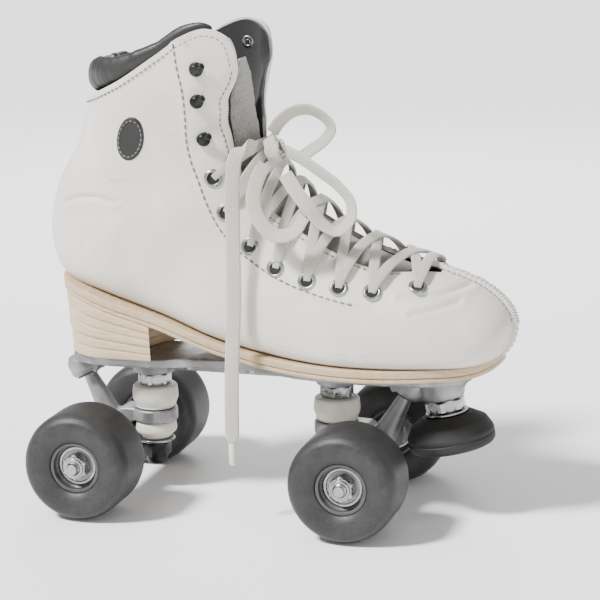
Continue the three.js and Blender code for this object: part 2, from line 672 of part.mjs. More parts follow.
// The free lace: the bow's knot, its two loops, the short tail and the long end that hangs down the outer side.
const KNOT = { centre: [26, -17.5, 205], radii: [6.5, 8, 6] };
const LOOP_UPPER = [
  [24, -15, 214], [27, -14, 219], [34, -13, 225], [43, -12, 227], [52, -11, 223], [56, -10, 217], [52, -9, 210],
  [44, -8, 204], [37, -7, 199],
];
const LOOP_FORWARD = [
  [34, -21, 205], [43, -25, 202], [54, -28, 196], [65, -30, 189], [73, -32, 180], [73, -34, 171], [66, -36, 165],
  [58, -37, 169], [51, -37, 177], [43, -35, 186], [36, -31, 194],
];
const TAIL = [
  [24, -30, 199], [22, -38, 191], [22, -45, 181], [27, -49, 171], [36, -50, 164], [46, -49, 166], [51, -46, 174],
];
const HANGING_END = [
  [18, -27, 207], [14, -33, 209], [11, -39, 205], [10, -43, 194], [10.5, -46, 165], [11, -48, 127], [9.5, -50, 82],
  [9, -50, 46],
];
const AGLET_END = [9, -50, 33];

// Which way each free strip's width points along its way, so that it stays half turned to the side.
const LEAN = -0.5;
const WIDTHS = {
  upper: [[-0.4, LEAN, 0.8], [0.3, LEAN, 0.8], [0.85, LEAN, 0.1], [0.4, LEAN, -0.75]],
  forward: [[0.4, LEAN, 0.75], [0.5, LEAN, 0.7], [0.85, LEAN, 0], [0, LEAN, -0.85], [-0.6, LEAN, -0.6]],
  tail: [[-0.8, LEAN, 0.2], [-0.85, LEAN, -0.1], [-0.3, LEAN, -0.8], [0.7, LEAN, -0.5]],
  hanging: [[0.6, 0.6, 0.5], [1, 0.2, 0], [1, 0.1, 0], [1, 0.2, 0]],
};

function laceKnot() {
  const [rx, ry, rz] = KNOT.radii;
  return new THREE.SphereGeometry(1, 16, 10).scale(rx, ry, rz).translate(...KNOT.centre);
}

function aglet() {
  const [x, y, z] = AGLET_END;
  const top = HANGING_END[HANGING_END.length - 1][2] - GAP;
  return turned([[0, z], [1.3, z], [1.9, z + 1.5], [2.1, top], [0, top]], 12).translate(x, y, 0);
}

function lacing() {
  const straps = [crossing(0, 0, 1)];
  for (let row = 0; row + 1 < EYELETS.length; row++) {
    straps.push(crossing(row, row + 1, 1), crossing(row, row + 1, -1));
  }
  return shell(join(...straps));
}

// ---------------------------------------------------------------- assembly
const LOOKS = {
  leather: [0xf1ece0, 0.45, 0],
  lining: [0x1c1b1c, 0.9, 0],
  padding: [0x201f21, 0.85, 0],
  tongue: [0xb9b5ab, 0.8, 0],
  footbed: [0x8d7a62, 0.8, 0],
  sole: [0xc9a878, 0.6, 0],
  heel: [0xd3b78d, 0.6, 0],
  aluminium: [0xb4b7ba, 0.4, 0.9],
  steel: [0x8e9194, 0.35, 1],
  cushion: [0xd8d2c4, 0.6, 0],
  cup: [0x2b2b2d, 0.7, 0],
  tyre: [0x303134, 0.6, 0],
  hub: [0xd6d6d2, 0.5, 0],
  rubber: [0x1b1b1c, 0.85, 0],
  lace: [0xe9e4d6, 0.9, 0],
  aglet: [0xf4f2ea, 0.3, 0],
};

function piece(name, geometry, look) {
  const [color, roughness, metalness] = LOOKS[look];
  geometry.computeVertexNormals();
  const mesh = new THREE.Mesh(geometry, new THREE.MeshStandardMaterial({ color, roughness, metalness }));
  mesh.name = name;
  return mesh;
}

function boot() {
  const made = new THREE.Group();
  made.add(piece("boot_upper", bootUpper(), "leather"));
  made.add(piece("boot_lining", bootLining(), "lining"));
  made.add(piece("collar_roll", collarRoll(), "padding"));
  made.add(piece("tongue", tongue(), "tongue"));
  made.add(piece("footbed", footbed(), "footbed"));
  made.add(piece("midsole", midsole(), "sole"));
  made.add(piece("outsole", outsole(), "sole"));
  for (let i = 0; i < HEEL.lifts; i++) made.add(piece(`heel_lift_${i + 1}`, heelLift(i), "heel"));
  made.add(piece("lacing", lacing(), "lace"), piece("lace_knot", laceKnot(), "lace"));
  return made;
}

function freeLaces() {
  const made = new THREE.Group();
  made.add(piece("lace_loop_upper", flatLace(LOOP_UPPER, WIDTHS.upper, 20), "lace"));
  made.add(piece("lace_loop_forward", flatLace(LOOP_FORWARD, WIDTHS.forward, 24), "lace"));
  made.add(piece("lace_tail", flatLace(TAIL, WIDTHS.tail, 14), "lace"));
  made.add(piece("lace_end", flatLace(HANGING_END, WIDTHS.hanging, 18), "lace"));
  made.add(piece("lace_aglet", aglet(), "aglet"));
  return made;
}

function truck(end) {
  const made = new THREE.Group();
  const standing = new THREE.Group();
  standing.position.x = KINGPIN.x;
  standing.add(piece(`${end}_kingpin`, kingpin(), "steel"));
  const bore = KINGPIN.radius + GAP;
  standing.add(piece(`${end}_kingpin_nut`, hexNut(JAM_NUT.flats, JAM_NUT.bottom, JAM_NUT.top, bore), "steel"));
  standing.add(piece(`${end}_cushion_upper`, cushion(UPPER_CUSHION, 1.2), "cushion"));
  standing.add(piece(`${end}_cushion_lower`, cushion(LOWER_CUSHION, 3), "cushion"));
  standing.add(piece(`${end}_retainer`, disc(RETAINER.radius, RETAINER.bottom, RETAINER.top, bore), "steel"));
  made.add(standing, piece(`${end}_pivot_cup`, pivotCup(), "cup"));
  made.add(piece(`${end}_hanger`, hanger(), "aluminium"), piece(`${end}_axle`, axle(), "steel"));
  if (end === "rear") made.rotation.z = Math.PI;
  return made;
}

function wheel(end, hand) {
  const [x, side] = [end === "front" ? AXLE.x : -AXLE.x, hand === "left" ? 1 : -1];
  const made = new THREE.Group();
  const centre = new THREE.Group();
  const name = `${end}_${hand}`;
  centre.position.y = side * WHEEL.offset;
  centre.add(piece(`${name}_tyre`, tyre(), "tyre"), piece(`${name}_hub`, hub(), "hub"));
  centre.add(piece(`${name}_bearing_outer`, bearing(side), "steel"));
  centre.add(piece(`${name}_bearing_inner`, bearing(-side), "steel"));
  made.add(centre, piece(`${name}_axle_nut`, axleNut(side), "steel"));
  made.position.set(x, 0, AXLE.z);
  return made;
}

function toeStop() {
  const made = new THREE.Group();
  const { stem, stemTop } = TOE_STOP;
  made.position.set(TOE_STOP.x, 0, TOE_STOP.z);
  made.rotation.y = -rad(TOE_STOP.lean);
  made.add(piece("toe_stop_rubber", toeStopRubber(), "rubber"));
  const rod = turned([[0, 8.3], [stem, 8.3], [stem, stemTop - 1], [stem - 1, stemTop], [0, stemTop]]);
  made.add(piece("toe_stop_stem", rod, "steel"));
  made.add(piece("toe_stop_washer", disc(12, 19.3, 20.5, stem + GAP), "steel"));
  made.add(piece("toe_stop_nut", hexNut(20, 20.8, 27.4, stem + GAP), "steel"));
  return made;
}

const skate = new THREE.Group();
skate.add(boot(), piece("plate", plate(), "aluminium"), truck("front"), truck("rear"), toeStop());
for (const end of ["front", "rear"]) {
  for (const hand of ["left", "right"]) skate.add(wheel(end, hand));
}

// The origin goes on the ground under the middle of the skate, measured without the free laces.
const bounds = new THREE.Box3().setFromObject(skate);
const middle = bounds.getCenter(new THREE.Vector3());
skate.position.set(-middle.x, -middle.y, -bounds.min.z);
skate.add(freeLaces());

const part = new THREE.Group();
part.add(skate);
export default part;
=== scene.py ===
"""The looks of a right-foot quad roller skate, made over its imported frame."""

import json
import math

import bpy
import numpy as np
from mathutils import Matrix, Vector

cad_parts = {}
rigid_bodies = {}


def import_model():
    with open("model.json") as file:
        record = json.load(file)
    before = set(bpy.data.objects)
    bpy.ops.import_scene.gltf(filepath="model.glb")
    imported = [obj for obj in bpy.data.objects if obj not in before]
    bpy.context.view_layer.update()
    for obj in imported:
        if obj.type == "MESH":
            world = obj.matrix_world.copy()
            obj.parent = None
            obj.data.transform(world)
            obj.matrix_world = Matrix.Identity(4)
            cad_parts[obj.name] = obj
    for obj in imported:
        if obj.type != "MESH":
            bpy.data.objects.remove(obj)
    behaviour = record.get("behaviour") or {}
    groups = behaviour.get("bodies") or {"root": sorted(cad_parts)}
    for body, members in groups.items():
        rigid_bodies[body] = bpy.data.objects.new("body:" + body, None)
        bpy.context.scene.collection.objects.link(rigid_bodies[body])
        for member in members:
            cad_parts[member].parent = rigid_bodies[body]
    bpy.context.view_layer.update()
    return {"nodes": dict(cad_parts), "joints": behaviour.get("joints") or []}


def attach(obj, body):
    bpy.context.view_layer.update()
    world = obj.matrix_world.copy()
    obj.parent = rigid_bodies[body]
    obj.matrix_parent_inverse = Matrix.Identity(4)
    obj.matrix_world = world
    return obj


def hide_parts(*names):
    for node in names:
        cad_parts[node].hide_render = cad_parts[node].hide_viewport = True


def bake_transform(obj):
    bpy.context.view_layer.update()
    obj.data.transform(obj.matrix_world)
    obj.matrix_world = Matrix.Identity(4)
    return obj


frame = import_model()
JOINTS = {joint["name"]: joint for joint in frame["joints"]}
FRONT = JOINTS["front_truck_steer"]["pos_m"]
REAR = JOINTS["rear_truck_steer"]["pos_m"]
MIDDLE_X = (FRONT[0] + REAR[0]) / 2
ROOT = "boot_and_plate"

# All shapes below are in millimetres: X = 0 midway between the axles, Z = 0 the ground, +X the toe.


def metres(points):
    """Millimetres from the middle of the wheelbase, as points in the row frame."""
    return np.asarray(points, float) / 1000 + np.array([MIDDLE_X, 0, 0])


# ---------------------------------------------------------------- camera and light
EYE = (377.5, -1108.6, 387.4)
VIEW_RIGHT, VIEW_FORWARD = (0.956, 0.2931, -0.0133), (-0.2884, 0.9302, -0.2269)
LENS = 126.9
BOOT_MIDDLE = (0, 0, 130)
FLOOR_HALF, FLOOR_DROP = 9.0, 0.0006  # metres; the drop keeps the floor off the tyres


def add_camera():
    """The picture's view: 17 degrees round from the outer side and 13 above, with a long lens."""
    camera = linked("camera", bpy.data.cameras.new("camera"))
    right, forward = Vector(VIEW_RIGHT).normalized(), Vector(VIEW_FORWARD).normalized()
    axes = Matrix((right, right.cross(forward).normalized(), -forward)).transposed().to_4x4()
    camera.matrix_world = Matrix.Translation(Vector(metres(EYE))) @ axes
    camera.data.sensor_width = 36
    camera.data.lens = LENS
    bpy.context.scene.camera = camera


def linked(name, data):
    made = bpy.data.objects.new(name, data)
    bpy.context.scene.collection.objects.link(made)
    return made


def add_sun(towards, spread, power):
    lamp = bpy.data.lights.new("key", "SUN")
    lamp.angle = math.radians(spread)
    lamp.energy = power
    linked("key", lamp).rotation_euler = Vector(towards).to_track_quat("Z", "Y").to_euler()


def add_light(name, place, size, power):
    lamp = bpy.data.lights.new(name, "AREA")
    lamp.shape = "DISK"
    lamp.size = size
    lamp.energy = power
    made = linked(name, lamp)
    made.location = metres(place)
    aim = Vector(metres(BOOT_MIDDLE)) - made.location
    made.rotation_euler = aim.to_track_quat("-Z", "Y").to_euler()


def add_studio():
    world = bpy.data.worlds.new("studio")
    bpy.context.scene.world = world
    world.use_nodes = True
    sky = world.node_tree.nodes["Background"].inputs
    sky["Color"].default_value = (0.93, 0.94, 0.96, 1)
    sky["Strength"].default_value = 0.7
    add_sun((-0.6, -0.62, 1.0), 10, 7.6)
    add_light("fill", (1100, -900, 450), 0.8, 4)
    add_light("rim", (-300, 1100, 800), 0.6, 8)
    mesh = bpy.data.meshes.new("floor")
    corners = [(x * FLOOR_HALF, y * FLOOR_HALF, 0) for x, y in ((-1, -1), (1, -1), (1, 1), (-1, 1))]
    mesh.from_pydata(corners, [], [(0, 1, 2, 3)])
    floor = linked("floor", mesh)
    floor.location.z = -FLOOR_DROP
    paper = Surface("floor_paper", (0.94, 0.935, 0.925), 0.85)
    paper.vary(paper.noise(3.0, 3), (0.93, 0.925, 0.915), (0.95, 0.945, 0.94))
    paper.bump(paper.noise(260, 5), 0.05, 0.0006)
    mesh.materials.append(paper.material)


# ---------------------------------------------------------------- materials


class Surface:
    """A procedural material under construction."""

    def __init__(self, name, colour, roughness, metallic=0.0, coordinates="Object", **sockets):
        self.material = bpy.data.materials.new(name)
        self.material.use_nodes = True
        self.tree = self.material.node_tree
        self.shader = self.tree.nodes["Principled BSDF"]
        self.shader.inputs["Base Color"].default_value = (*colour, 1)
        self.shader.inputs["Roughness"].default_value = roughness
        self.shader.inputs["Metallic"].default_value = metallic
        for socket, value in sockets.items():
            self.shader.inputs[socket.replace("_", " ")].default_value = value
        self.place = self.tree.nodes.new("ShaderNodeTexCoord").outputs[coordinates]
        self.relief = None

    def link(self, source, target):
        self.tree.links.new(source, target)

    def texture(self, kind, place=None, **sockets):
        node = self.tree.nodes.new(kind)
        for socket, value in sockets.items():
            node.inputs[socket].default_value = value
        self.link(place or self.place, node.inputs["Vector"])
        return node

    def noise(self, scale, detail=4.0, distortion=0.0, place=None):
        node = self.texture("ShaderNodeTexNoise", place, Scale=scale, Detail=detail, Distortion=distortion)
        return node.outputs["Fac"]

    def pebbles(self, scale):
        node = self.texture("ShaderNodeTexVoronoi", Scale=scale)
        node.feature = "SMOOTH_F1"
        return node.outputs["Distance"]

    def bands(self, scale, direction, distortion):
        node = self.texture("ShaderNodeTexWave", Scale=scale, Distortion=distortion, Detail=2)
        node.bands_direction = direction
        node.wave_profile = "SIN"
        return node.outputs["Fac"]

    def stretched(self, x, y, z):
        return self.texture("ShaderNodeMapping", Scale=(x, y, z)).outputs["Vector"]

    def math(self, operation, a, b=0.0):
        node = self.tree.nodes.new("ShaderNodeMath")
        node.operation = operation
        for socket, value in zip(node.inputs, (a, b)):
            if isinstance(value, (int, float)):
                socket.default_value = value
            else:
                self.link(value, socket)
        return node.outputs[0]

    def weighed(self, a, part, b, other):
        """A part of a and another part of b, added."""
        return self.math("ADD", self.math("MULTIPLY", a, part), self.math("MULTIPLY", b, other))

    def ramp(self, source, low, high, start=0.0, end=1.0):
        """source between low and high, spread over start to end."""
        node = self.tree.nodes.new("ShaderNodeMapRange")
        for socket, value in zip(("From Min", "From Max", "To Min", "To Max"), (low, high, start, end)):
            node.inputs[socket].default_value = value
        self.link(source, node.inputs["Value"])
        return node.outputs["Result"]

    def tint(self, source, low, high):
        """A colour that runs from low to high as source goes from 0 to 1."""
        node = self.tree.nodes.new("ShaderNodeMix")
        node.data_type = "RGBA"
        self.link(source, node.inputs["Factor"])
        for index, value in ((6, low), (7, high)):
            if isinstance(value, tuple):
                node.inputs[index].default_value = (*value, 1)
            else:
                self.link(value, node.inputs[index])
        return node.outputs[2]

    def vary(self, source, low, high):
        colour = self.tint(source, low, high)
        self.link(colour, self.shader.inputs["Base Color"])
        return colour

    def gloss(self, source, low, high):
        self.link(self.ramp(source, 0.3, 0.7, low, high), self.shader.inputs["Roughness"])

    def bump(self, height, strength, distance):
        node = self.tree.nodes.new("ShaderNodeBump")
        node.inputs["Strength"].default_value = strength
        node.inputs["Distance"].default_value = distance
        self.link(height, node.inputs["Height"])
        if self.relief:
            self.link(self.relief, node.inputs["Normal"])
        self.relief = node.outputs["Normal"]
        self.link(self.relief, self.shader.inputs["Normal"])


def leather(name, low, high, roughness, grain=1.0):
    made = Surface(name, high, roughness, Specular_IOR_Level=0.45, Coat_Weight=0.12, Coat_Roughness=0.35)
    patches = made.noise(16, 5, 0.6)
    scuffs = made.ramp(made.noise(70, 6, 1.2, made.stretched(1, 1, 2.4)), 0.62, 0.75)
    colour = made.tint(made.ramp(patches, 0.3, 0.7), low, high)
    marked = made.tint(made.math("MULTIPLY", scuffs, 0.35), colour, tuple(0.62 * c for c in low))
    made.link(marked, made.shader.inputs["Base Color"])
    made.gloss(made.noise(45, 4), roughness - 0.08, roughness + 0.12)
    made.bump(made.noise(38, 3, 0.8), 0.12 * grain, 0.0016)
    made.bump(made.pebbles(820), 0.30 * grain, 0.00022)
    made.bump(made.noise(2600, 3), 0.18 * grain, 0.00010)
    return made.material


def cloth(name, low, high, scale):
    """A plain weave of crossed threads, with lint."""
    made = Surface(name, high, 0.92, Sheen_Weight=0.25, Sheen_Roughness=0.5)
    weave = made.math("MULTIPLY", made.bands(scale, "X", 0.6), made.bands(scale, "Z", 0.6))
    lint = made.noise(420, 5, 0.5)
    made.vary(made.math("MULTIPLY", made.ramp(lint, 0.3, 0.75), made.math("ADD", weave, 0.35)), low, high)
    made.bump(made.noise(60, 3), 0.2, 0.0012)
    made.bump(weave, 0.6, 0.00022)
    made.bump(lint, 0.35, 0.00022)
    return made.material


def felt(name, low, high):
    made = Surface(name, high, 0.95, Sheen_Weight=0.4, Sheen_Roughness=0.4)
    fibres = made.noise(900, 8, 2.5, made.stretched(1, 1, 0.35))
    made.vary(made.ramp(fibres, 0.32, 0.7), low, high)
    made.bump(made.noise(55, 3), 0.25, 0.0015)
    made.bump(fibres, 0.6, 0.0003)
    return made.material


def braid(name, low, high):
    """A flat woven lace: chevrons run along its length, which is the U of its map, in metres."""
    chevron_pitch, rib_pitch = 0.0016, 0.0013
    made = Surface(name, high, 0.88, coordinates="UV", Sheen_Weight=0.3, Sheen_Roughness=0.45)
    split = made.tree.nodes.new("ShaderNodeSeparateXYZ")
    made.link(made.place, split.inputs[0])
    fold = made.math("ABSOLUTE", split.outputs["Y"])
    slant = made.math("ADD", split.outputs["X"], made.math("MULTIPLY", fold, 1.4))
    chevron = made.math("SINE", made.math("MULTIPLY", slant, 2 * math.pi / chevron_pitch))
    ribs = made.math("SINE", made.math("MULTIPLY", split.outputs["Y"], 2 * math.pi / rib_pitch))
    threads = made.math("MULTIPLY", made.ramp(chevron, -1, 1), made.ramp(ribs, -1, 1, 0.45, 1))
    fuzz = made.noise(900, 4)
    made.vary(made.weighed(threads, 0.75, fuzz, 0.3), low, high)
    made.bump(threads, 0.8, 0.0003)
    made.bump(fuzz, 0.3, 0.0002)
    return made.material


def stacked(name, low, high):
    """Layers of veneer on edge: fine horizontal grain, stained a little."""
    made = Surface(name, high, 0.55, Coat_Weight=0.1, Coat_Roughness=0.4)
    grain = made.noise(90, 7, 0.9, made.stretched(1, 1, 14))
    stain = made.noise(14, 4, 0.5)
    made.vary(made.ramp(made.weighed(grain, 0.7, stain, 0.35), 0.3, 0.75), low, high)
    made.gloss(grain, 0.48, 0.7)
    made.bump(grain, 0.35, 0.00035)
    made.bump(made.noise(1500, 4), 0.15, 0.0001)
    return made.material


def cast_metal(name, low, high):
    made = Surface(name, high, 0.5, 0.85)
    mottle = made.noise(55, 6, 0.5)
    made.vary(made.ramp(mottle, 0.3, 0.7), low, high)
    made.gloss(made.noise(140, 5), 0.42, 0.62)
    made.bump(made.noise(650, 5), 0.55, 0.00025)
    made.bump(made.noise(110, 4), 0.25, 0.0005)
    return made.material


def bright_metal(name, low, high, roughness=0.26):
    """Turned or rolled steel, with fine marks round it."""
    made = Surface(name, high, roughness, 1.0)
    marks = made.noise(520, 5, 0.3, made.stretched(0.15, 0.15, 3))
    made.vary(made.ramp(made.noise(90, 4), 0.3, 0.7), low, high)
    made.gloss(marks, roughness - 0.06, roughness + 0.14)
    made.bump(marks, 0.18, 0.00006)
    return made.material


def wheel_urethane(name, low, high):
    """Cast urethane, scuffed by the floor: fine streaks round the tread."""
    made = Surface(name, high, 0.5, coordinates="Generated", Specular_IOR_Level=0.5)
    streaks = made.noise(34, 7, 0.4, made.stretched(1, 7, 1))
    dust = made.noise(7, 6, 0.8)
    made.vary(made.ramp(made.weighed(streaks, 0.6, dust, 0.45), 0.35, 0.75), low, high)
    made.gloss(streaks, 0.38, 0.62)
    made.bump(streaks, 0.14, 0.0004)
    made.bump(made.noise(130, 4), 0.10, 0.0003)
    return made.material


def moulded(name, low, high, roughness, grain=300.0):
    """Moulded rubber or plastic with a fine sparked grain."""
    made = Surface(name, high, roughness)
    cloud = made.noise(60, 5, 0.4)
    made.vary(made.ramp(cloud, 0.3, 0.7), low, high)
    made.gloss(cloud, roughness - 0.07, roughness + 0.1)
    made.bump(made.noise(grain, 4), 0.22, 0.0003)
    made.bump(made.noise(grain * 6, 3), 0.2, 0.00008)
    return made.material


# Each look's kind, material name, slot (empty where it is that name), darker and lighter colour, and what
# else its kind takes.
LOOKS, SLOTS = {}, {}
for look, kind, label, slot, low, high, *more in (
    ("leather", leather, "white_leather", "", (0.56, 0.53, 0.47), (0.74, 0.715, 0.655), 0.44, 1.25),
    ("lining", cloth, "black_lining", "", (0.004, 0.004, 0.0045), (0.017, 0.0168, 0.017), 900),
    ("padding", leather, "black_padding", "", (0.004, 0.004, 0.004), (0.014, 0.0135, 0.013), 0.48, 1.6),
    ("tongue", felt, "tongue_felt", "", (0.17, 0.163, 0.15), (0.38, 0.365, 0.33)),
    ("footbed", leather, "footbed_leather", "", (0.20, 0.13, 0.08), (0.36, 0.25, 0.16), 0.7),
    ("sole", stacked, "sole_leather", "", (0.36, 0.25, 0.15), (0.60, 0.46, 0.30)),
    ("heel", stacked, "heel_leather", "", (0.42, 0.30, 0.18), (0.68, 0.54, 0.37)),
    ("aluminium", cast_metal, "cast_aluminium", "", (0.20, 0.203, 0.206), (0.36, 0.363, 0.366)),
    ("steel", bright_metal, "bright_steel", "steel", (0.24, 0.24, 0.246), (0.44, 0.44, 0.445)),
    ("blackened", bright_metal, "blackened_steel", "steel", (0.012, 0.012, 0.013), (0.05, 0.05, 0.052), 0.36),
    ("cushion", moulded, "cushion_urethane", "", (0.55, 0.52, 0.44), (0.74, 0.70, 0.62), 0.5),
    ("cup", moulded, "cup_urethane", "", (0.02, 0.02, 0.022), (0.05, 0.05, 0.052), 0.55),
    ("tyre", wheel_urethane, "wheel_urethane", "", (0.008, 0.008, 0.009), (0.034, 0.0335, 0.034)),
    ("hub", moulded, "hub_nylon", "", (0.035, 0.035, 0.036), (0.075, 0.075, 0.076), 0.42),
    ("rubber", moulded, "stop_rubber", "", (0.005, 0.005, 0.005), (0.017, 0.0165, 0.016), 0.7, 220),
    ("shield", bright_metal, "bearing_shield", "steel", (0.20, 0.20, 0.205), (0.34, 0.34, 0.345), 0.42),
    ("lace", braid, "cotton_lace", "", (0.30, 0.28, 0.235), (0.74, 0.715, 0.65)),
    ("thread", moulded, "waxed_thread", "cotton_lace", (0.10, 0.09, 0.075), (0.24, 0.22, 0.185), 0.6, 2500),
    ("tip", moulded, "lace_tip", "", (0.62, 0.60, 0.54), (0.82, 0.80, 0.74), 0.25),
):
    LOOKS[look] = kind(label, low, high, *more)
    SLOTS[look] = slot or label


def unit(vectors):
    return vectors / np.linalg.norm(vectors, axis=-1, keepdims=True)


def strides(line):
    """The distances from each point of a line to the next."""
    return np.linalg.norm(np.diff(line, axis=0), axis=1)


def smooth_step(value):
    value = np.clip(value, 0, 1)
    return value * value * (3 - 2 * value)


# ---------------------------------------------------------------- pieces and solids
# A solid is (points, faces): an array of millimetre points and a list of faces.


def merge(*solids):
    points, faces = [], []
    for more, their_faces in solids:
        start = sum(len(p) for p in points)
        points.append(np.asarray(more, float))
        faces.extend(tuple(start + i for i in face) for face in their_faces)
    return np.concatenate(points), faces


def placed(solid, matrix):
    points, faces = solid
    return points @ np.array(matrix.to_3x3()).T + np.array(matrix.translation), faces


def raw_object(name, solid):
    mesh = bpy.data.meshes.new(name)
    mesh.from_pydata(metres(solid[0]).tolist(), [], solid[1])
    mesh.validate()
    return linked(name, mesh)


def bake(made):
    """Applies the object's modifiers to its mesh."""
    graph = bpy.context.evaluated_depsgraph_get()
    mesh = bpy.data.meshes.new_from_object(made.evaluated_get(graph))
    made.modifiers.clear()
    made.data = mesh


def finished(made, look, replaces=(), sharp=38, body=ROOT):
    """Gives an object its material, smooth shading, its body and the CAD nodes it stands for."""
    mesh = made.data
    mesh.materials.clear()
    mesh.materials.append(LOOKS[look])
    mesh.polygons.foreach_set("use_smooth", [True] * len(mesh.polygons))
    mesh.set_sharp_from_angle(angle=math.radians(sharp))
    if body:
        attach(made, body)
    if replaces:
        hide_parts(*replaces)
    return made


def piece(name, solid, look, replaces=(), sharp=38, body=ROOT):
    return finished(raw_object(name, solid), look, replaces, sharp, body)


def body_of(node):
    return frame["nodes"][node].parent.name.removeprefix("body:")


def stand_in(node, solid, look, place, sharp=38):
    """A finer solid at a place, riding on the body of the CAD node it replaces."""
    return piece(f"{node}_look", placed(solid, place), look, [node], sharp, body_of(node))


def from_node(name, node, voxel, smoothing, look):
    """A cast piece: its CAD node remeshed finely and smoothed, so that its edges are rounded."""
    made = linked(name, frame["nodes"][node].data.copy())
    made.modifiers.new("weld", "WELD").merge_threshold = 0.00001
    made.modifiers.new("remesh", "REMESH").voxel_size = voxel / 1000
    smooth = made.modifiers.new("smooth", "SMOOTH")
    smooth.iterations = smoothing
    smooth.factor = 0.5
    bake(made)
    return finished(made, look, [node], 180, body_of(node))


def outwards(points, faces):
    """A closed solid with its faces turned outwards, by the sign of its volume."""
    corners = np.array([(face[0], face[i], face[i + 1]) for face in faces for i in range(1, len(face) - 1)])
    a, b, c = (points[corners[:, k]] - points[0] for k in range(3))
    if (a * np.cross(b, c)).sum() < 0:
        faces = [face[::-1] for face in faces]
    return points, faces


def skin(rings, caps=True):
    """Faces over rings, an array of ring, point, xyz."""
    rings = np.asarray(rings, float)
    count, around = rings.shape[:2]
    faces = []
    for i in range(count - 1):
        for j in range(around):
            k = (j + 1) % around
            a, b = i * around, (i + 1) * around
            faces.append((a + j, b + j, b + k, a + k))
    if caps:
        faces.append(tuple(range(around)))
        faces.append(tuple((count - 1) * around + j for j in reversed(range(around))))
        return outwards(rings.reshape(-1, 3), faces)
    return rings.reshape(-1, 3), faces


def turned(profile, segments=64, flats=None):
    """A solid turned about Z from [radius, z] points. flats cuts it to a hexagon of that width."""
    rings = []
    for i in range(segments):
        angle = 2 * math.pi * i / segments
        limit = 1e9
        if flats:
            offset = (angle + math.pi / 6) % (math.pi / 3) - math.pi / 6
            limit = flats / 2 / math.cos(offset)
        c, s = math.cos(angle), math.sin(angle)
        rings.append([(min(r, limit) * c, min(r, limit) * s, z) for r, z in profile])
    rings.append(rings[0])
    points, faces = skin(rings, caps=False)
    return outwards(*welded(points, faces))


def lathed(profile, radius, segments):
    """A solid turned from a profile whose corners are rounded."""
    return turned(rounded(profile, radius), segments)


def welded(points, faces):
    """Merges points that coincide, and drops the faces that collapse."""
    keys, inverse = np.unique(np.round(points, 4), axis=0, return_inverse=True)
    inverse = inverse.reshape(-1)
    clean = []
    for face in faces:
        loop = [int(inverse[i]) for i in face]
        loop = [v for n, v in enumerate(loop) if v != loop[n - 1]]
        if len(set(loop)) == len(loop) >= 3:
            clean.append(tuple(loop))
    return keys, clean


def rounded(profile, radius):
    """A closed [radius, z] profile with its corners off the axis rounded."""
    out = []
    steps = 3
    for i, corner in enumerate(profile):
        if corner[0] < 1e-6:
            out.append(corner)
            continue
        p, a, b = (np.array(v, float) for v in (corner, profile[i - 1], profile[(i + 1) % len(profile)]))
        before, after = np.linalg.norm(a - p), np.linalg.norm(b - p)
        reach = min(radius, 0.45 * before, 0.45 * after)
        start = p + (a - p) / max(before, 1e-9) * reach
        end = p + (b - p) / max(after, 1e-9) * reach
        for k in range(steps + 1):
            t = k / steps
            out.append(tuple((1 - t) ** 2 * start + 2 * t * (1 - t) * p + t * t * end))
    return out


def thread(radius, bottom, top, pitch, depth):
    """The outline of a threaded stretch, from the bottom up."""
    turns = max(1, int((top - bottom) / pitch))
    points = []
    for i in range(turns):
        z = bottom + i * pitch
        points += [(radius - depth, z), (radius, z + 0.35 * pitch), (radius, z + 0.5 * pitch)]
    return points + [(radius - depth, bottom + turns * pitch)]


def along_y(x, z, side, y):
    """Places a solid made about Z so that its Z points to +Y or -Y."""
    return Matrix.Translation((x, y, z)) @ Matrix.Rotation(-side * math.pi / 2, 4, "X")


# ---------------------------------------------------------------- the last
# Slices of the boot's outer form: top x and z, base x and z, half width, widest share, the squareness of the
# top and the base, the bend to the side, and the throat's half opening.
STATIONS = np.array([
    (156.4, 108.5, 153.2, 97.5, 7, 0.4, 2, 2, 3, 0),
    (154, 117, 149.3, 93, 21, 0.56, 2, 2.6, 3, 0),
    (147.5, 125, 144.4, 91.2, 31, 0.64, 2, 3.4, 3, 0),
    (136, 132.5, 135, 90, 39, 0.7, 2, 4.2, 2.5, 0),
    (117, 139.5, 117, 89.6, 45, 0.73, 2, 4.6, 1.5, 9),
    (92, 147.5, 90, 88.8, 47.5, 0.75, 2, 4.6, 0, 24),
    (66, 159, 60, 88.8, 46, 0.75, 2, 4.6, -1, 26.5),
    (43, 174.5, 28, 90.5, 41.5, 0.72, 2.1, 4, -1, 26),
    (27, 188.5, -8, 96.5, 37, 0.7, 2.2, 3.6, -0.5, 24.5),
    (18, 200.5, -42, 107.5, 34.5, 0.68, 2.4, 3.2, 0, 23.5),
    (14, 212, -76, 117, 34, 0.64, 2.7, 2.8, 0, 23.5),
    (13, 222, -101.5, 125, 33.5, 0.58, 3, 2.4, 0, 24.5),
    (13, 229, -112, 140, 33.5, 0.55, 3.2, 2.2, 0, 26),
    (14, 235, -113, 160, 34, 0.52, 3.4, 2.2, 0, 27.5),
    (15, 241, -107, 182, 34.5, 0.5, 3.6, 2.2, 0, 29),
    (16, 249, -95, 203, 35.5, 0.5, 4.4, 2.2, 0, 30),
    (16.5, 260, -89, 223, 37, 0.5, 4.8, 2.2, 0, 31.5),
    (17, 290, -80, 268, 38.5, 0.5, 4.8, 2.2, 0, 33),
])
LAST_STATION = len(STATIONS) - 1
CUT_END = LAST_STATION + 0.3  # cutters run on past the last slice
LEATHER, INNER = 2.4, 5.7  # how deep the leather's and the lining's inner faces lie


